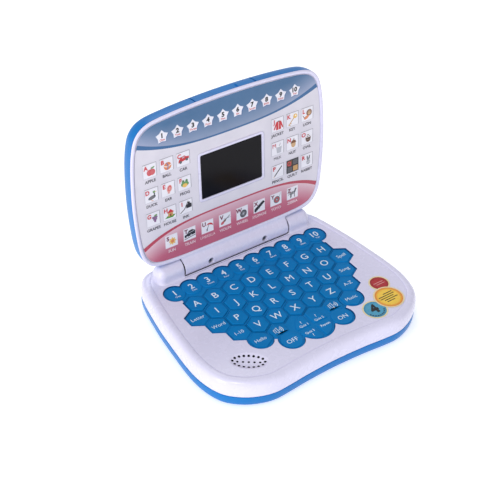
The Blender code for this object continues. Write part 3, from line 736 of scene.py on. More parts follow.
def make_top_shell(outline):
    panel, rim = PANEL_Z / MM, RIM_Z / MM
    low = SPLIT_Z / MM + HALF_SEAM
    profile = [(11, panel - 2), (6.5, panel - 2), (4.6, panel - 3.4), (2.4, low), (0.85, low), (0.62, low + 0.15),
               (0.5, low + 0.5), (0.18, 13.6), (0.02, 16), (0.02, 18), (0.2, 20), (0.55, 21.7), (1.05, 23.1),
               (1.7, 24.2), (2.5, 25.05), (3.4, 25.6), (4.4, 25.95), (5.5, rim), (6.7, rim - 0.02),
               (7.5, rim - 0.08), (7.95, rim - 0.2), (8.1, panel - 0.3), (8.45, panel - 0.3),
               (8.6, panel - 0.05), (8.9, panel), (11.5, panel)]
    shell = tidy(loft("top_shell_skin", rings(outline, profile), ["white"]), 60)
    shell.data.transform(BASE_PLAN)
    half_x, half_y = KNUCKLE_IN + 1.5 * MM, TROUGH_R + 1 * MM
    bed = box((-half_x, HINGE.y - half_y, HINGE.z - 11 * MM), (half_x, HINGE.y + half_y, PANEL_Z - 0.5 * MM))
    boolean(shell, "UNION", [knuckle(-1), knuckle(1), bed])
    boolean(shell, "DIFFERENCE", [trough_cutter(), opening_cutter()] + grille_cutters())
    # the trough's end walls go back to white; the rest of the trough keeps its painted shade
    for face in shell.data.polygons:
        at_trough_end = abs(face.center.x) > KNUCKLE_IN - 1 * MM and face.center.y > HINGE.y - TROUGH_R
        if abs(face.normal.x) > 0.9 and at_trough_end:
            face.material_index = 0
    finish_shell(shell, IN_PLACE, "base", "white_plastic", "base_top_shell")


def make_bottom_shell(outline):
    floor, split = FLOOR_Z / MM, SPLIT_Z / MM
    top, inner = split - HALF_SEAM, floor + WALL
    profile = [(8, floor + 2.4), (6.4, floor + 2.4), (4.0, floor + 4.2), (2.4, top), (0.7, top),
               (0.45, top - 0.15), (0.36, top - 0.5), (0.3, top - 1.6), (0.3, floor + 6.2), (0.4, floor + 4.6),
               (0.6, floor + 3.3), (0.95, floor + 2.1), (1.55, floor + 1.1), (2.4, floor + 0.4),
               (3.3, floor + 0.05), (4.4, floor), (8, floor)]
    shell = tidy(loft("bottom_shell_skin", rings(outline, profile), ["blue"]), 60)
    shell.data.transform(BASE_PLAN)

    wall, gap = Vector((1, 1, 0)) * WALL * MM, Vector((1, 1, 0)) * DOOR_GAP
    bay_low, bay_high = Vector((0, BAY_MIDDLE_Y, 0)) - BAY_HALF, Vector((0, BAY_MIDDLE_Y, BAY_TOP)) + BAY_HALF
    tub = box((*(bay_low - wall).xy, inner * MM), (*(bay_high + wall).xy, bay_high.z + WALL * MM))
    posts = [turned("post", [(4.6, inner), (4.6, split - 0.3)], spot, count=24) for spot in CASE_SCREWS]
    posts.append(turned("post", [(3, inner), (3, split)], DOOR_SCREW, count=24))
    boolean(shell, "UNION", [tub] + posts)

    cutters = [box(bay_low, bay_high),
               box((*(DOOR_LOW - gap).xy, 0), (*(DOOR_HIGH + gap).xy, (floor + 1.3) * MM)),
               turned("bore", [(1.5, 0), (1.5, split - WALL)], DOOR_SCREW, count=20)]
    for spot in CASE_SCREWS:
        cutters.append(turned("sink", [(3.3, 0), (3.3, floor + 0.05), (3.0, floor + 0.4), (3.0, 6)], spot, count=28))
        cutters.append(turned("bore", [(1.6, 5), (1.6, 11)], spot, count=20))
    for spot in FEET:
        cutters.append(turned("seat", [(6.3, 0), (6.3, floor + 0.9)], spot, count=40))
    boolean(shell, "DIFFERENCE", cutters)
    finish_shell(shell, IN_PLACE, "base", "blue_plastic", "base_bottom_shell")


def make_feet():
    profile = [(0.6, 0), (4.2, 0), (5.2, 0.08), (5.75, 0.35), (6.0, 0.8), (6.0, FLOOR_Z / MM + 0.6)]
    for i, spot in enumerate(FEET, 1):
        foot = tidy(turned(f"rubber_pad_{i}", profile, spot, ["rubber"], 40))
        place(foot, IN_PLACE, "base", "foot_rubber", f"rubber_foot_{i}")


def make_battery_door():
    """Door with a rounded edge, a plug that fills the bay's mouth, grip ribs and a hole for its screw."""
    middle, size = (DOOR_LOW + DOOR_HIGH) / 2, DOOR_HIGH - DOOR_LOW
    base = FLOOR_Z / MM
    edge = [(0.5, base), (0.12, base + 0.12), (0, base + 0.45), (0, base + 1.0)]
    door = tidy(loft("battery_door_skin", rings(rectangle(size.x, size.y, 2 * MM, middle.xy), edge), ["blue"]))
    half_x, half_y = BAY_HALF.x - DOOR_GAP, BAY_HALF.y - DOOR_GAP
    boolean(door, "UNION", [box((-half_x, middle.y - half_y, FLOOR_Z + 0.5 * MM),
                                (half_x, middle.y + half_y, FLOOR_Z + 2 * MM))])
    cutters = [turned("hole", [(1.5, 0), (1.5, 4)], DOOR_SCREW, count=20)]
    for i in range(7):
        x = DOOR_LOW.x + (8 + 2.4 * i) * MM
        groove = rectangle(1.2 * MM, (20 - abs(i - 3) * 2.5) * MM, 0.5 * MM, (x, middle.y))
        cutters.append(loft("rib", rings(groove, [(0, base - 1), (0, base + 0.15), (0.25, base + 0.4)])))
    boolean(door, "DIFFERENCE", cutters)
    finish_shell(door, IN_PLACE, "battery_door", "blue_plastic", "battery_door")


def screw(name, radius, head, shank, matrix, body, node):
    """A pan-head screw with a cross recess, in millimetres. Its head faces +Z, with its top at z = 0."""
    profile = [(0.4 * shank, -5 * radius), (0.5 * shank, -4.6 * radius), (0.5 * shank, -head), (radius, -head),
               (radius, -0.45 * head), (0.9 * radius, -0.2 * head), (0.62 * radius, -0.04 * head), (0.2 * radius, 0)]
    piece = tidy(turned(name, profile, materials=["steel", "shade"], count=36))
    arm, slit, low, high = (size * MM for size in (0.62 * radius, 0.16 * radius, -0.75 * head, head))
    boolean(piece, "DIFFERENCE", [box((-arm, -slit, low), (arm, slit, high)),
                                  box((-slit, -arm, low), (slit, arm, high))])
    tidy(piece, 30)
    # painted shade on the floor of the cross recess
    for face in piece.data.polygons:
        if face.center.z < -0.3 * head * MM and face.center.xy.length < arm:
            face.material_index = 1
    place(piece, matrix, body, "screw_steel", node)


def make_base_screws():
    """The case screws and the battery door's screw, heads down."""
    def fit(name, sizes, node, spot, angle, body):
        top = Matrix.Translation((spot.x, spot.y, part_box(node)[0].z))
        turn = Matrix.Rotation(angle, 4, "Z") @ Matrix.Rotation(math.pi, 4, "X")
        screw(name, *sizes, top @ turn, body, node)

    for i, spot in enumerate(CASE_SCREWS, 1):
        fit(f"case_screw_head_{i}", (2.6, 1.5, 2.6), f"case_screw_{i}", spot, 0.7 * i, "base")
    fit("battery_door_screw_head", (2.4, 0.8, 1.4), "battery_door_screw", DOOR_SCREW, 0.4, "battery_door")


# Keypad

INK_SLOT = 1  # a key's material slots are its plastic and its ink
KEY_EDGE = [(0.0, -0.62), (0.03, -0.4), (0.13, -0.2), (0.3, -0.06), (0.5, 0.0), (1.0, 0.0)]


def raised_key(name, loop, low_z, materials=()):
    """A key cap: straight sides and a rounded upper edge."""
    top = KEY_Z / MM
    profile = [(0, low_z / MM)] + [(inset, top + height) for inset, height in KEY_EDGE]
    return loft(name, rings(loop, profile), materials)


def write_on(piece, texts, top_z):
    """Adds printed lettering to a key's mesh: (text, height, centre, weight)."""
    with editing(piece) as work:
        for text, height, centre, weight in texts:
            points, faces = lettering(text, height, weight)
            add_ink(work, [p + Vector(centre) for p in points], faces, top_z)
        work.normal_update()
        for face in work.faces:
            if face.material_index == INK_SLOT and face.normal.z < 0:
                face.normal_flip()


def add_ink(work, points, faces, top_z):
    """Flat inked faces just above a key's top."""
    made = [work.verts.new((p.x, p.y, top_z + LAYER)) for p in points]
    for face in faces:
        work.faces.new([made[i] for i in face]).material_index = INK_SLOT


def draw_on(piece, shapes, top_z):
    """Adds printed flat shapes to a key's mesh."""
    sheet = Sheet()
    for points in shapes:
        sheet.shape(points, (1, 1, 1), 0)
    with editing(piece) as work:
        add_ink(work, sheet.points, sheet.faces, top_z)


def make_letter_keys():
    for letter, (x, y) in LETTERS.items():
        loop = rounded(hexagon(x, y, PLATEAU), KEY_CORNER, 3)
        key = tidy(raised_key("key_cap_" + letter, loop, KEY_BOTTOM_Z, ["keys", "ink"]))
        write_on(key, [(letter.upper(), 0.36 * PITCH, (x, y), 0.004)], KEY_Z)
        place(key, BASE_PLAN, "key_" + letter, "key_rubber", "key_" + letter)


def band(name, cells, blocked, plateaus, texts, body, drawings=()):
    """Keys moulded together: a low sheet with raised caps, printed on top."""
    sheet_z = WEB_Z / MM
    edge = [(0, KEY_BOTTOM_Z / MM), (0, sheet_z - 0.22), (0.07, sheet_z - 0.06), (0.25, sheet_z)]
    loop = thinned(max(merged_outlines(cells, blocked), key=len), 0.5 * MM)
    piece = tidy(loft(name, soft_rings(loop, edge, 0.4 * MM), ["keys", "ink"]))
    with editing(piece) as work:
        for plateau in plateaus:
            cap = tidy(raised_key("cap", plateau, WEB_Z - 0.5 * MM))
            work.from_mesh(cap.data)
            bpy.data.objects.remove(cap)
    piece.data.set_sharp_from_angle(angle=math.radians(CREASE))
    write_on(piece, texts, KEY_Z)
    draw_on(piece, drawings, KEY_Z)
    even_shading(piece)
    place(piece, BASE_PLAN, body, "key_rubber", body)


def quiz_quarters():
    """Four raised quarters of the round pad, a groove between them."""
    quarters = []
    for k in range(4):
        arc = [Vector((0.82 * PITCH * math.cos(a), 0.82 * PITCH * math.sin(a)))
               for a in (math.radians(6 + 90 * k + 78 * s / 14) for s in range(15))]
        corner = Vector((0.085 * PITCH, 0.085 * PITCH)) @ Matrix.Rotation(math.radians(-90 * k), 2)
        quarters.append([Vector((p.x + QUIZ[0], p.y + QUIZ[1])) for p in arc + [corner]])
    return quarters


def number_labels():
    labels = []
    for i, (word, (x, y)) in enumerate(zip(COUNT_WORDS, NUMBERS), 1):
        labels.append((str(i), 0.33 * PITCH, (x, y + 0.06 * PITCH), 0.014))
        labels.append((word, 0.1 * PITCH, (x, y - 0.22 * PITCH), 0.01))
    return labels


def make_key_bands():
    fence = letter_cells(KEY_GAP)
    caps = [circle(0.455 * PITCH, ROUND, centre) for centre in NUMBERS]
    band("number_key_caps", number_cells(SEAM), fence, caps, number_labels(), "number_keys")
    sides = [("left", LEFT_CELLS, ("Letter", "Word", "1-10", "Hello")),
             ("right", RIGHT_CELLS, ("Spell", "Song", "A-Z", "Music"))]
    for side, cells, words in sides:
        caps = [rounded(hexagon(x, y, PLATEAU), KEY_CORNER, 3) for x, y in cells]
        texts = [(word, 0.19 * PITCH, centre, 0.0) for word, centre in zip(words, cells)]
        band(side + "_function_key_caps", side_cells(cells, SEAM), fence, caps, texts, side + "_function_keys")
    make_lower_band(fence + side_cells(LEFT_CELLS, KEY_GAP) + side_cells(RIGHT_CELLS, KEY_GAP))


def volume_cap(centre):
    """A volume key: a hexagon less the round keys beside it, its long points trimmed."""
    pad = [circle(QUIZ_R, 60, QUIZ)] + [circle(LOBE_R, ROUND, spot) for spot in POWER]
    arms = [p - centre for p in max(merged_outlines([hexagon(*centre, PLATEAU)], pad), key=len)]
    loop = [centre + arm * min(1.0, 0.43 * PITCH / arm.length) for arm in arms]
    return softened(thinned(loop, 0.8 * MM), 0.8 * MM)


def make_lower_band(blocked):
    """Off, on, the two volume keys and the four quarters of the quiz pad."""
    caps = [volume_cap(Vector(centre)) for centre in (LOWER_CELLS[0], LOWER_CELLS[3])]
    caps += [circle(0.5 * PITCH, ROUND, centre) for centre in POWER] + quiz_quarters()
    texts = [(word, 0.23 * PITCH, (x, y - 0.05 * PITCH), 0.0) for word, (x, y) in zip(("OFF", "ON"), POWER)]
    for text, x, y in (("Quiz 1", -0.4, 0.2), ("Quiz 2", 0.44, 0.2), ("Quiz 3", -0.42, -0.26),
                       ("Repeat", 0.44, -0.24), ("?", -0.4, 0.42), ("?", 0.42, 0.44), ("?", -0.4, -0.5)):
        height = (0.16 if text == "?" else 0.125) * PITCH
        texts.append((text, height, (x * PITCH, QUIZ[1] + y * PITCH), 0.01))
    symbols = [shape for side in (-1, 1)
               for shape in speaker_symbol((side * 1.5 + 0.02) * PITCH, -3.41 * PITCH, 0.145 * PITCH)]
    band("lower_key_caps", lower_cells(SEAM), blocked, caps, texts, "lower_function_keys", symbols)


def speaker_symbol(x, y, size):
    """The outline of a loudspeaker and three sound waves."""
    cone = [(-1.1, -0.75), (-0.35, -1.2), (-0.35, 1.2), (-1.1, 0.75), (-1.7, 0.75), (-1.7, -0.75)]
    shapes = []
    for start, end in list(zip(cone, cone[1:])) + [(cone[0], cone[3])]:
        start, end = Vector(start), Vector(end)
        along = (end - start).normalized() * 0.09
        side = Vector((-along.y, along.x))
        corners = (start - along + side, start - along - side, end + along - side, end + along + side)
        shapes.append([(x + p.x * size, y + p.y * size) for p in corners])
    angles = [math.radians(-48 + 16 * k) for k in range(7)]
    for reach in (0.55, 1.05, 1.55):
        outer, inner = ([(x + (math.cos(t) * r - 0.15) * size, y + math.sin(t) * r * size) for t in angles]
                        for r in (reach, reach - 0.2))
        shapes.append(outer + inner[::-1])
    return shapes


# Lid

def hinge_web():
    """The face that joins the barrel to the lid, hollow between the two, as a section from plate to barrel."""
    front = [(10.7, 3.2), (9.9, 3.26), (9.1, 3.46), (8.3, 3.86), (7.6, 4.38), (6.9, 5.04), (6.2, 5.82)]
    back = [(5.0, 4.0), (6.0, 1.95), (10.7, 1.95)]
    section = [Vector((y * MM, z * MM)) for y, z in front + back]
    return tidy(loft("web", [[Vector((x, p.x, p.y)) for p in section] for x in (-BARREL_HALF, BARREL_HALF)]))


def barrel():
    """The hinge barrel, with rounded ends."""
    radius, half, end = BARREL_R / MM, BARREL_HALF / MM, 0.9
    right = [(radius - end, half), (radius - 0.45 * end, half - 0.12 * end),
             (radius - 0.12 * end, half - 0.45 * end), (radius, half - end)]
    return tidy(turned("barrel", [(r, -x) for r, x in right] + right[::-1], count=72, axis="X"))


def make_lid_front(outline):
    split, plate, card = LID_SPLIT_Z / MM, PLATE_Z / MM, CARD_Z / MM
    profile = [(5.5, 0.2), (2.6, 0.2), (2.6, split), (0.3, split), (0.1, split + 0.1), (0.05, split + 0.3),
               (0.14, 2.5), (0.38, 2.8), (0.75, 3.02), (1.2, 3.16), (1.7, 3.2), (2.2, 3.14), (2.65, 2.98),
               (3.0, 2.74), (3.3, 2.4), (3.45, 2.0), (3.5, plate), (6, plate)]
    shell = tidy(loft("lid_front_skin", rings(outline, profile), ["white"]), 60)
    middle = (0, SCREEN_Y)
    border = rectangle(SCREEN_W + 5 * MM, SCREEN_H + 5 * MM, 2.8 * MM, middle, 6)
    surround = loft("surround", rings(border, [(0, plate - 0.5), (0, card + 0.05), (0.12, card + 0.2),
                                               (0.35, card + 0.3), (1.0, card + 0.3)]))
    boolean(shell, "UNION", [tidy(surround), hinge_web(), barrel()])

    window = rectangle(SCREEN_W + 0.6 * MM, SCREEN_H + 0.6 * MM, 1.3 * MM, middle, 6)
    sight = rectangle(SCREEN_W - 4 * MM, SCREEN_H - 4 * MM, 1 * MM, middle)
    cutters = [tidy(loft("window", rings(window, [(0, 0.9), (0, card), (-0.1, card + 0.2), (-0.3, card + 0.34),
                                                  (-0.3, 6)]))),
               loft("sight", rings(sight, [(0, -2), (0, 2)])),
               turned("bore", [(3.3, -60), (3.3, 60)], count=40, axis="X")]
    cutters += [turned("sink", [(2.65, 5.5), (2.65, 7.6), (3.0, 8.6), (3.0, 12)], (side * SCREW_X, 0, 0))
                for side in (-1, 1)]
    boolean(shell, "DIFFERENCE", cutters)
    tidy(shell, CREASE)
    # painted shade on the barrel's flat ends, for the dark gap beside each knuckle
    shell.data.materials.append(MATERIALS["shade"])
    for face in shell.data.polygons:
        at_barrel_end = abs(face.center.x) > BARREL_HALF - 0.2 * MM and face.center.yz.length < BARREL_R
        if abs(face.normal.x) > 0.9 and at_barrel_end:
            face.material_index = len(shell.data.materials) - 1
    even_shading(shell)
    place(shell, LID_FRAME, "lid", "white_plastic", "lid_front_shell")
    for name, side in (("left", -1), ("right", 1)):
        top = LID_FRAME @ Matrix.Translation((side * SCREW_X, 0, 7.1 * MM))
        screw(f"barrel_screw_head_{name}", 2.3, 1.3, 2.0, top @ Matrix.Rotation(0.5 * side + 0.3, 4, "Z"),
              "lid", "barrel_screw_" + name)


def make_lid_back(outline):
    """The domed back shell, with two grooves and a finger recess in its top edge."""
    split = LID_SPLIT_Z / MM - 2 * HALF_SEAM
    inner = rings(outline, [(8, -12.0), (4.4, -10.6), (2.6, -7.0)])
    outer = rings(outline, [(2.0, split), (0.3, split), (0.06, split - 0.12), (0, split - 0.35), (0.05, -2.5),
                            (0.2, -4.5), (0.45, -6.3), (0.8, -7.9), (1.3, -9.2), (2.1, -10.4), (3.1, -11.4),
                            (4.4, -12.2), (6.0, -12.9), (8.4, -13.5), (12, -14.0)])
    centre = (sum(outer[-1], Vector()) / len(outline)).xy

    def shrunk(ring, share, height):
        return at_height([centre.lerp(p.xy, share) for p in ring], height)

    dome = [shrunk(outer[-1], share, height) for share, height in ((0.75, -14.35), (0.5, -14.48), (0.25, -14.52))]
    shell = tidy(loft("lid_back_skin", [shrunk(inner[0], 0.6, -12.5)] + inner + outer + dome, ["blue"]), 60)
    top = max(p.y for p in outline)
    low_y, high_y = top - 2.2 * MM, top + 5 * MM
    cutters = []
    for side in (-1, 1):
        x = (side * 1.57 - 0.15) * PITCH
        section = [Vector((x - 0.5 * MM, low_y)), Vector((x + 0.5 * MM, low_y)),
                   Vector((x + 0.9 * MM, high_y)), Vector((x - 0.9 * MM, high_y))]
        cutters.append(loft("groove", [at_height(section, z) for z in (-13, 2)]))
    recess = box((-15.3 * MM, -1.5 * MM, -7 * MM), (9.7 * MM, 6 * MM, 3 * MM))
    recess.data.transform(Matrix.Translation((0, top, 0)) @ Matrix.Rotation(math.radians(10), 4, "X"))
    boolean(shell, "DIFFERENCE", cutters + [recess])
    finish_shell(shell, LID_FRAME, "lid", "blue_plastic", "lid_back_shell")


def make_screen():
    """Dark display window with a rounded edge."""
    loop = rectangle(SCREEN_W, SCREEN_H, 1.1 * MM, (0, SCREEN_Y), 6)
    card = CARD_Z / MM
    edge = [(0, 1.2), (0, card - 0.35), (0.08, card - 0.15), (0.3, card - 0.05), (0.8, card - 0.05)]
    window = tidy(loft("display_window", rings(loop, edge), ["screen"]))
    even_shading(window)
    place(window, LID_FRAME, "lid", "screen_dark", "lcd_window")


# Printed card

def spot(u, v):
    """A point on the card from pitches across and along."""
    return Vector((u * PITCH, v * PITCH + LID_BASE))


def bend(points, u):
    """Height of a curve through (across, along) points, mirrored about the middle."""
    u = abs(u)
    for (u0, v0), (u1, v1) in zip(points, points[1:]):
        if u <= u1:
            return v0 + (v1 - v0) * (u - u0) / (u1 - u0)
    return points[-1][1]


def blend_colour(a, b, t):
    return tuple(x + (y - x) * t for x, y in zip(a, b))


# Where the blue and red fields of the card begin, in pitches across and along
BLUE_EDGE = [(4.9 * i / 24, 6.45 + 0.78 * (i / 24) ** 2.8) for i in range(25)]
RED_EDGE = [(4.9 * i / 24, 2.75 - 0.84 * (i / 24) ** 3.6) for i in range(25)]
CARD_INSET = 3.8 * MM
CARD_THICKNESS = 0.4 * MM
PRINT_MARGIN = 0.15 * MM


def card_columns(outline, edge, count):
    """Even-angled stations across the card: place, reach (0 to 1), curve height, and the card's low and high edge."""
    half = max(p.x for p in outline)
    columns = []
    for i in range(count + 1):
        x = -math.cos(math.pi * i / count) * half * 0.9995
        heights = [a.y + (b.y - a.y) * (x - a.x) / (b.x - a.x)
                   for a, b in zip(outline[-1:] + outline, outline) if (a.x > x) != (b.x > x)]
        columns.append((x, abs(x) / half, bend(edge, x / PITCH) * PITCH + LID_BASE, min(heights), max(heights)))
    return columns


def field(sheet, edge, outline, side, light, mid, deep):
    """A printed field between a curve and the card's edge, pale along the curve and deeper beyond it."""
    columns = []
    for x, reach, start, low, high in card_columns(outline, edge, 72):
        stop = high if side > 0 else low
        if (stop - start) * side > 0.02 * MM:
            columns.append((x, start, stop, blend_colour(mid, light, 0.35 + 0.65 * reach ** 2)))
    rows, colours = [], []
    for t in (0, 0.04, 0.1, 0.2, 0.32, 0.45, 0.6, 0.8, 1.0):
        rows.append([Vector((x, start + (stop - start) * t)) for x, start, stop, _ in columns])
        colours.append([blend_colour(pale, deep, min(1.0, abs(stop - start) * t / PITCH / 1.05) ** 0.8)
                        for _, start, stop, pale in columns])
    sheet.blend(rows[::side], colours[::side], 1)


def curve_line(sheet, edge, outline, colour):
    """The line along a field's curve: a hair in the middle, broad at both ends."""
    upper, lower = [], []
    for x, reach, y, low, high in card_columns(outline, edge, 96):
        half_wide = (0.04 + 0.085 * reach ** 3) * PITCH
        upper.append(Vector((x, min(high, max(low, y + half_wide)))))
        lower.append(Vector((x, min(high, max(low, y - half_wide)))))
    sheet.blend([lower, upper], [[colour] * len(upper)] * 2, 2)


INK = {letter: srgb(code) for letter, code in {
    "r": "#c8323c", "d": "#26242a", "g": "#4f8f3a", "y": "#e9b63a", "o": "#d9772e", "b": "#7a4a2c", "k": "#55555c",
    "w": "#f2f1f6", "p": "#dd8f86", "u": "#4a6fb0", "s": "#b9bac4", "m": "#74407c", "t": "#c79a63"}.items()}

# Pictures for the tiles, drawn from ellipses "e" (x, y, rx, ry, turn in degrees if any), polygons "p" (x, y, ...)
# and lines "l" (width, x, y, ...), each with an ink. Places and sizes are hundredths of a tile, from its middle.
PICTURES = {
    "apple": [("e", "r", -2, -12, 19, 20), ("e", "r", 16, -12, 19, 20), ("l", "b", 4, 7, 5, 12, 20),
              ("e", "g", 22, 16, 11, 5, 25)],
    "ball": [("e", "o", 6, -10, 25, 25), ("l", "w", 5, -17, -6, 6, -16, 29, -4),
             ("l", "u", 5, 0, 13, 10, -10, 4, -33)],
    "car": [("p", "r", -34, -20, 38, -8, 40, 8, 20, 10, 8, 20, -12, 14, -30, -2), ("e", "d", -18, -18, 9, 9),
            ("e", "d", 24, -10, 9, 9), ("p", "s", -8, 3, 12, 8, 6, 15, -6, 11)],
    "duck": [("e", "k", 2, -16, 26, 12, 12), ("l", "d", 7, 16, -10, 20, 6, 14, 16), ("e", "g", 17, 18, 9, 7),
             ("p", "y", 24, 20, 36, 16, 24, 14), ("l", "o", 3, -2, -28, 0, -38, 10, -38)],
    "ear": [("e", "p", 8, 0, 17, 24, -12), ("e", "r", 9, 2, 11, 17, -12), ("e", "p", 10, 0, 7, 11, -12),
            ("e", "p", 3, -24, 8, 8)],
    "frog": [("e", "g", 2, -8, 27, 17), ("e", "g", -10, 12, 9, 10), ("e", "g", 14, 12, 9, 10),
             ("e", "y", 2, -16, 17, 13), ("e", "d", -10, 14, 4, 5), ("e", "d", 14, 14, 4, 5)],
    "grapes": [("e", "m", x, y, 7.5, 7.5) for x, y in ((-1, 8), (10, 8), (21, 8), (5, -5), (17, -5), (11, -18))]
              + [("e", "g", 16, 20, 12, 6, 15)],
    "house": [("p", "g", -36, -32, 20, -36, 40, -20, -10, -14), ("p", "t", -12, -24, 22, -24, 22, 2, -12, 2),
              ("p", "r", -20, 0, 30, 0, 5, 24), ("p", "b", 0, -24, 10, -24, 10, -8, 0, -8)],
    "ink": [("p", "d", 2, -14, 40, -14, 40, 12, 28, 16, 28, 26, 14, 26, 14, 14, 2, 8),
            ("l", "d", 5, -40, -36, -10, -14, 18, 34)],
    "jacket": [("p", "r", -30, -28, -20, -30, -10, -6, -12, -36, 26, -36, 24, -6, 34, -30, 42, -26, 26, 18, 8, 24,
                -10, 18), ("l", "w", 2.5, 8, 20, 7, -36), ("e", "d", 8, 20, 8, 4)],
    "key": [("l", "t", 6, -30, -36, 14, 10), ("e", "y", 20, 16, 15, 15), ("e", "w", 23, 19, 5, 5),
            ("l", "t", 5, -26, -32, -17, -40), ("l", "t", 5, -17, -23, -9, -30)],
    "lion": [("e", "b", 14, 6, 21, 22), ("e", "t", 15, 4, 12, 13), ("e", "o", -6, -22, 20, 10, 25),
             ("e", "d", 11, 8, 2, 2), ("e", "d", 20, 8, 2, 2), ("l", "b", 4, -20, -24, -34, -4)],
    "milk": [("p", "s", -6, -36, 24, -36, 30, 10, -12, 10), ("e", "w", 9, 10, 20, 5),
             ("l", "k", 2.5, 10, 10, 20, 30)],
    "nut": [("e", "t", 7, -12, 17, 22), ("p", "b", -14, -4, 28, -4, 22, 12, 7, 18, -8, 12),
            ("l", "b", 4, 7, 16, 12, 28)],
    "owl": [("e", "b", 8, -8, 20, 27), ("e", "w", 0, 6, 9, 9), ("e", "w", 17, 6, 9, 9), ("e", "d", 1, 6, 4, 4),
            ("e", "d", 16, 6, 4, 4), ("l", "d", 6, -10, -10, 26, -12), ("l", "d", 5, -8, -24, 24, -26)],
    "pencil": [("l", "d", 7, -26, -30, 30, 28), ("l", "t", 3, -34, -38, -26, -30)],
    "quilt": [("p", "d", -46, -46, 46, -46, 46, 46, -46, 46), ("p", "b", -40, 4, -4, 4, -4, 40, -40, 40),
              ("p", "k", 4, 4, 40, 4, 40, 40, 4, 40), ("p", "t", 4, -40, 40, -40, 40, -4, 4, -4),
              ("p", "k", -40, -40, -4, -40, -4, -4, -40, -4)],
    "rabbit": [("e", "s", 10, -16, 16, 17), ("e", "k", 4, 14, 5, 17, 10), ("e", "k", 18, 14, 5, 17, -14),
               ("e", "d", 5, -10, 2.5, 3), ("e", "d", 15, -10, 2.5, 3), ("l", "d", 3, 4, -26, 16, -26)],
    "sun": [("e", "y", 6 + 17 * math.cos(a), -4 + 17 * math.sin(a), 10, 5.5, math.degrees(a))
            for a in (math.pi * k / 4 for k in range(8))] + [("e", "o", 6, -4, 11, 11)],
    "train": [("p", "d", -38, -22, 40, -12, 42, 12, 20, 26, -6, 22, -20, 2, -38, -4), ("l", "s", 4, -10, 6, 34, 12),
              ("l", "k", 5, -40, -32, 42, -20), ("e", "s", -20, -16, 5, 5), ("e", "s", 10, -12, 5, 5)],
    "umbrella": [("p", "r", -12, 6, 2, 20, 20, 22, 36, 12, 44, -6, 30, 3, 14, 10, 0, 10),
                 ("l", "k", 4, 12, 12, -6, -24, -12, -20), ("p", "k", -10, -34, -2, -34, 3, -12, -3, -12)],
    "violin": [("e", "r", -20, -20, 15, 10, 35), ("e", "b", -4, -8, 12, 8, 35), ("l", "d", 4, -6, -10, 36, 22),
               ("l", "k", 2, -10, 6, 42, 6)],
    "wheel": [("e", "d", 8, -10, 26, 28, -20), ("e", "k", 8, -10, 16, 18, -20), ("l", "s", 3, -6, -16, 22, -4),
              ("l", "s", 3, 4, 6, 12, -26), ("e", "s", 8, -10, 5, 5)],
    "xylophone": [("p", "d", -40, -32, -30, -40, 44, 18, 30, 32, -38, -14), ("l", "k", 3, -32, -20, -20, -32),
                  ("l", "k", 3, -12, -6, 2, -20), ("l", "k", 3, 8, 10, 22, -6)],
    "yoyo": [("e", "k", 6, -6, 25, 26), ("e", "r", 6, -6, 18, 19), ("e", "k", 6, -6, 11, 12), ("e", "s", 6, -6, 5, 5),
             ("l", "k", 2, 24, 10, 36, 38)],
    "zebra": [("e", "k", 0, -2, 22, 11, 6), ("p", "k", 10, 0, 22, -2, 34, 26, 22, 28),
              ("l", "d", 5, -16, -8, -18, -36), ("l", "d", 5, 14, -6, 16, -36), ("l", "k", 4, -8, -8, -10, -34),
              ("l", "w", 2, -6, 8, -4, -12), ("l", "w", 2, 6, 8, 8, -12), ("l", "d", 3, -22, 4, -34, -10)],
}


def draw_picture(sheet, word, centre, size, layer):
    """One tile's picture, each of its shapes a little above the one before."""
    unit = size / 100
    for i, (kind, ink, *values) in enumerate(PICTURES[word]):
        colour, level = INK[ink], layer + 0.25 * i
        if kind == "e":
            x, y, wide, high, turn = (values + [0])[:5]
            sheet.disc(centre + Vector((x, y)) * unit, wide * unit, colour, blend_colour(colour, INK["w"], 0.12),
                       level, high / wide, math.radians(turn), 18)
            continue
        places = values[len(values) % 2:]
        points = [centre + Vector(p) * unit for p in zip(places[::2], places[1::2])]
        if kind == "p":
            sheet.shape(points, colour, level)
        else:
            sheet.stroke(points, values[0] * unit, colour, level)


def square(size, centre):
    """The corners of an upright square."""
    half = size / 2
    return [centre + Vector(corner) for corner in ((-half, -half), (half, -half), (half, half), (-half, half))]


def tile_places():
    """Centre, width and style of the picture tiles from A to Z."""
    places = []
    for left in (-4.2, 2.52):
        for v in (5.87, 4.66, 3.45):
            places += [(spot(left + 0.84 * i, v), 0.65 * PITCH, "framed") for i in range(3)]
    places += [(spot(0.96 * (i - 3.5), 1.98), 0.62 * PITCH, "plain") for i in range(8)]
    return places


def make_card(outline):
    card = grow(outline, -CARD_INSET)
    low = (CARD_Z - CARD_THICKNESS) / MM
    hole = rectangle(SCREEN_W + 5.6 * MM, SCREEN_H + 5.6 * MM, 3.2 * MM, (0, SCREEN_Y), 6)
    base = tidy(loft("card_stock", [at_height(card, low), at_height(card, CARD_Z / MM)], ["print"]))
    boolean(base, "DIFFERENCE", [loft("cut", rings(hole, [(0, 0), (0, 5)]))])
    ink = base.data.color_attributes.new("ink", "FLOAT_COLOR", "POINT")
    for entry in ink.data:
        entry.color = (*srgb("#dbd7e2"), 1)
    place(base, LID_FRAME, "lid", "card_print", "lid_card")

    sheet = Sheet()
    print_area = grow(outline, -CARD_INSET - PRINT_MARGIN)
    field(sheet, BLUE_EDGE, print_area, 1, srgb("#aab0cd"), srgb("#738ba9"), srgb("#446c95"))
    field(sheet, RED_EDGE, print_area, -1, srgb("#e6d0da"), srgb("#dbb4c4"), srgb("#c3657e"))
    curve_line(sheet, BLUE_EDGE, print_area, srgb("#3a6899"))
    curve_line(sheet, RED_EDGE, print_area, srgb("#b9485c"))
    number_stars(sheet)
    picture_tiles(sheet)
    place(sheet.make("card_picture", "print", CARD_Z), LID_FRAME, "lid", "card_print")


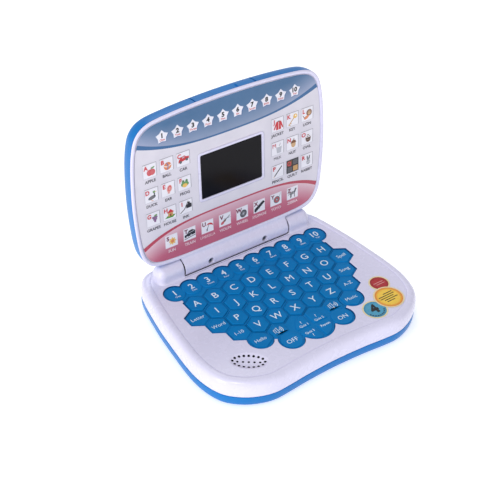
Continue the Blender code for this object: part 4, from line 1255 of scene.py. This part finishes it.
def star(centre, radius):
    """A blunt five-pointed star."""
    points = []
    for k in range(10):
        reach, angle = radius * (0.68 if k % 2 else 1.0), math.radians(90 + 36 * k)
        points.append(centre + Vector((reach * math.cos(angle), reach * math.sin(angle))))
    return points


def number_stars(sheet):
    """Ten stars with a shadow and a rim, each with its figure and its word."""
    shadow, rim, face = srgb("#3c5c92"), srgb("#c9d3e8"), srgb("#eceaf4")
    for i, word in enumerate(COUNT_WORDS):
        centre = spot(0.775 * (i - 4.5), 7.265)
        sheet.shape(star(centre + Vector((0.02, -0.02)) * PITCH, 0.335 * PITCH), shadow, 2)
        sheet.shape(star(centre, 0.33 * PITCH), rim, 3)
        sheet.shape(star(centre, 0.305 * PITCH), face, 4)
        sheet.words(str(i + 1), 0.21 * PITCH, centre + Vector((0, 0.06 * PITCH)), srgb("#101014"), 5, 0.05)
        sheet.words(word, 0.1 * PITCH, centre - Vector((0, 0.14 * PITCH)), srgb("#c94b55"), 5, 0.02)


TILE_COLOURS = {"framed": ("#c3c2cf", "#d0454f", "#4c4b55"), "plain": ("#e8dbe2", "#7c2f4a", "#efd9df")}


def picture_tiles(sheet):
    """The tiles from A to Z: border, face, picture, first letter and caption."""
    for word, (centre, size, style) in zip(PICTURES, tile_places()):
        border, letter, caption = map(srgb, TILE_COLOURS[style])
        sheet.shape(square(1.05 * size, centre), border, 3)
        if style == "framed":
            lit, far = -size / 2, 1.04 * size / 2
            sheet.stroke([centre + Vector(p) for p in ((far, lit), (far, far), (lit, far))], 0.02 * PITCH,
                         srgb("#85848f"), 3.5)
        sheet.shape(square(size, centre), srgb("#ebe9f2"), 4)
        draw_picture(sheet, word, centre + Vector((0.01, 0.0)) * size, 1.15 * size, 5)
        sheet.words(word[0].upper(), 0.2 * PITCH, centre + Vector((-0.3, 0.26)) * size, letter, 8, 0.035)
        sheet.words(word.upper(), 0.14 * PITCH, centre - Vector((0, 0.51 * PITCH)), caption, 3, 0.02, 0.8 * PITCH)


# Label on the base

def make_label():
    """Three overlapping round labels, each with a cream border, and strokes in place of their text."""
    sheet = Sheet()
    cream, top = srgb("#ead9a8"), 3.2
    discs = [((2.86, -4.70), 0.585, "#2f86ad", "#4fa3c4"), ((4.17, -3.42), 0.495, "#8f0f1e", "#b3222b"),
             ((3.92, -4.39), 0.71, "#dd7421", "#fbd84e")]
    for layer, (centre, radius, rim, core) in enumerate(discs):
        centre = Vector(centre) * PITCH
        sheet.disc(centre, radius * PITCH, cream, cream, layer, count=48)
        sheet.disc(centre, (radius - 0.07) * PITCH, srgb(rim), srgb(core), layer + 0.5, count=48)
    sheet.words("4", 0.5 * PITCH, Vector((2.84, -4.64)) * PITCH, srgb("#15181d"), top, 0.05)
    for i in range(9):
        angle = math.radians(205 + 16 * i)
        across, round_it = Vector((math.cos(angle), math.sin(angle))), Vector((-math.sin(angle), math.cos(angle)))
        middle = Vector((2.84, -4.70)) + 0.42 * across
        sheet.stroke([(middle - 0.035 * round_it) * PITCH, (middle + 0.035 * round_it) * PITCH], 0.06 * PITCH,
                     srgb("#1d3b4d"), top)
    red_rows = (4.17, -3.36, 0.12, 0.035, srgb("#e0a09c"), ((-0.28, 0.24), (-0.2, 0.26)))
    yellow_rows = (3.9, -4.12, 0.125, 0.05, srgb("#3a2417"),
                   ((-0.1, 0.4), (-0.44, 0.42), (-0.44, 0.3), (-0.3, 0.44), (-0.24, 0.2)))
    for x, y, step, width, colour, rows in (red_rows, yellow_rows):
        for row, ends in enumerate(rows):
            sheet.stroke([Vector((x + end, y - step * row)) * PITCH for end in ends], width * PITCH, colour, top)
    place(sheet.make("round_labels", "label", PANEL_Z + 0.12 * MM), BASE_PLAN, "base", "sticker_film",
          "feature_sticker")


# CAD nodes that keep their shape

def dress_nodes():
    """Materials for the nodes that stay as the CAD model has them."""
    finishes = {"web": ["keypad_web"], "board": ["main_board"], "paper": ["speaker"], "module": ["lcd_module"],
                "steel": ["hinge_pin_left", "hinge_pin_right"], "jacket": ["battery_1", "battery_2", "battery_3"],
                "nickel": ["battery_contact_left", "battery_contact_right"]}
    for finish, names in finishes.items():
        for name in names:
            node = frame["nodes"][name]
            node.data.materials.clear()
            node.data.materials.append(MATERIALS[finish])


# Stage

CAMERA_AZIMUTH = math.radians(-37.081)
CAMERA_ELEVATION = math.radians(38.666)
CAMERA_ROLL = math.radians(2.613)
CAMERA_DISTANCE = 55.389
CAMERA_OFFSET = (0.479, -1.159)
CAMERA_LENS = 87.6

FLOOR_SIZE = 6
FLOOR_GLOW = 0.42
WORLD_LIGHT = 0.61
LIGHTS = [("key_light", (-0.9, -0.8, 1.0), (0, 0, 0.05), 0.45, 4.6),
          ("fill_light", (0.5, -1.4, 0.45), (0, 0, 0.05), 0.7, 0.9),
          ("side_light", (-1.4, -0.3, 0.45), (0, 0, 0.05), 0.7, 7),
          ("rim_light", (0.3, 0.9, 1.0), (0, 0.05, 0.1), 0.6, 3)]


def make_camera():
    """Camera placed from its angles and its distance in pitches to the middle of the letter row A to H."""
    a, e, r = CAMERA_AZIMUTH, CAMERA_ELEVATION, CAMERA_ROLL
    back = Vector((math.sin(a) * math.cos(e), -math.cos(a) * math.cos(e), math.sin(e)))
    level = Vector((math.cos(a), math.sin(a), 0))
    rise = back.cross(level)
    right = math.cos(r) * level + math.sin(r) * rise
    up = math.cos(r) * rise - math.sin(r) * level
    away = back * CAMERA_DISTANCE - right * CAMERA_OFFSET[0] - up * CAMERA_OFFSET[1]
    data = bpy.data.cameras.new("camera")
    data.lens = CAMERA_LENS
    data.sensor_width = 36
    data.clip_start = 0.01
    camera = add_object("camera", data)
    turn = Matrix((right, up, back)).transposed().to_4x4()
    camera.matrix_world = Matrix.Translation(away * PITCH + Vector((0, ROW_Y, KEY_Z))) @ turn
    bpy.context.scene.camera = camera


def area_light(name, position, target, size, power):
    data = bpy.data.lights.new(name, "AREA")
    data.shape = "DISK"
    data.size = size
    data.energy = power
    lamp = add_object(name, data)
    lamp.location = position
    lamp.rotation_euler = (Vector(target) - Vector(position)).to_track_quat("-Z", "Y").to_euler()


def make_stage():
    """A bright, even floor, a pale world and four soft lights."""
    material, tree, shader = shader_of("studio_floor")
    tinted(tree, shader, (0.93, 0.93, 0.94), (0.9, 0.9, 0.915), ramp(tree, noise(tree, 3), 0, 1))
    preset(shader, {"Roughness": 0.8, "Emission Color": (1, 1, 1, 1), "Emission Strength": FLOOR_GLOW})
    floor = build("studio_floor", [p.to_3d() for p in square(2 * FLOOR_SIZE, Vector((0, 0)))],
                  [(0, 1, 2, 3)])
    floor.data.materials.append(material)
    floor.location.z = -0.2 * MM
    world = bpy.data.worlds.new("studio")
    world.use_nodes = True
    preset(world.node_tree.nodes["Background"], {"Color": (0.97, 0.98, 1.0, 1), "Strength": WORLD_LIGHT})
    bpy.context.scene.world = world
    bpy.context.scene.view_settings.view_transform = "Standard"
    for light in LIGHTS:
        area_light(*light)


def main():
    base_outline = spline_loop(BASE_HALF, CURVE_STEPS)
    lid_outline = [p + Vector((0, LID_BASE)) for p in spline_loop(LID_HALF, CURVE_STEPS)]
    make_camera()
    make_stage()
    make_top_shell(base_outline)
    make_bottom_shell(base_outline)
    make_feet()
    make_battery_door()
    make_base_screws()
    make_letter_keys()
    make_key_bands()
    make_label()
    make_lid_front(lid_outline)
    make_lid_back(lid_outline)
    make_screen()
    make_card(lid_outline)
    dress_nodes()


main()
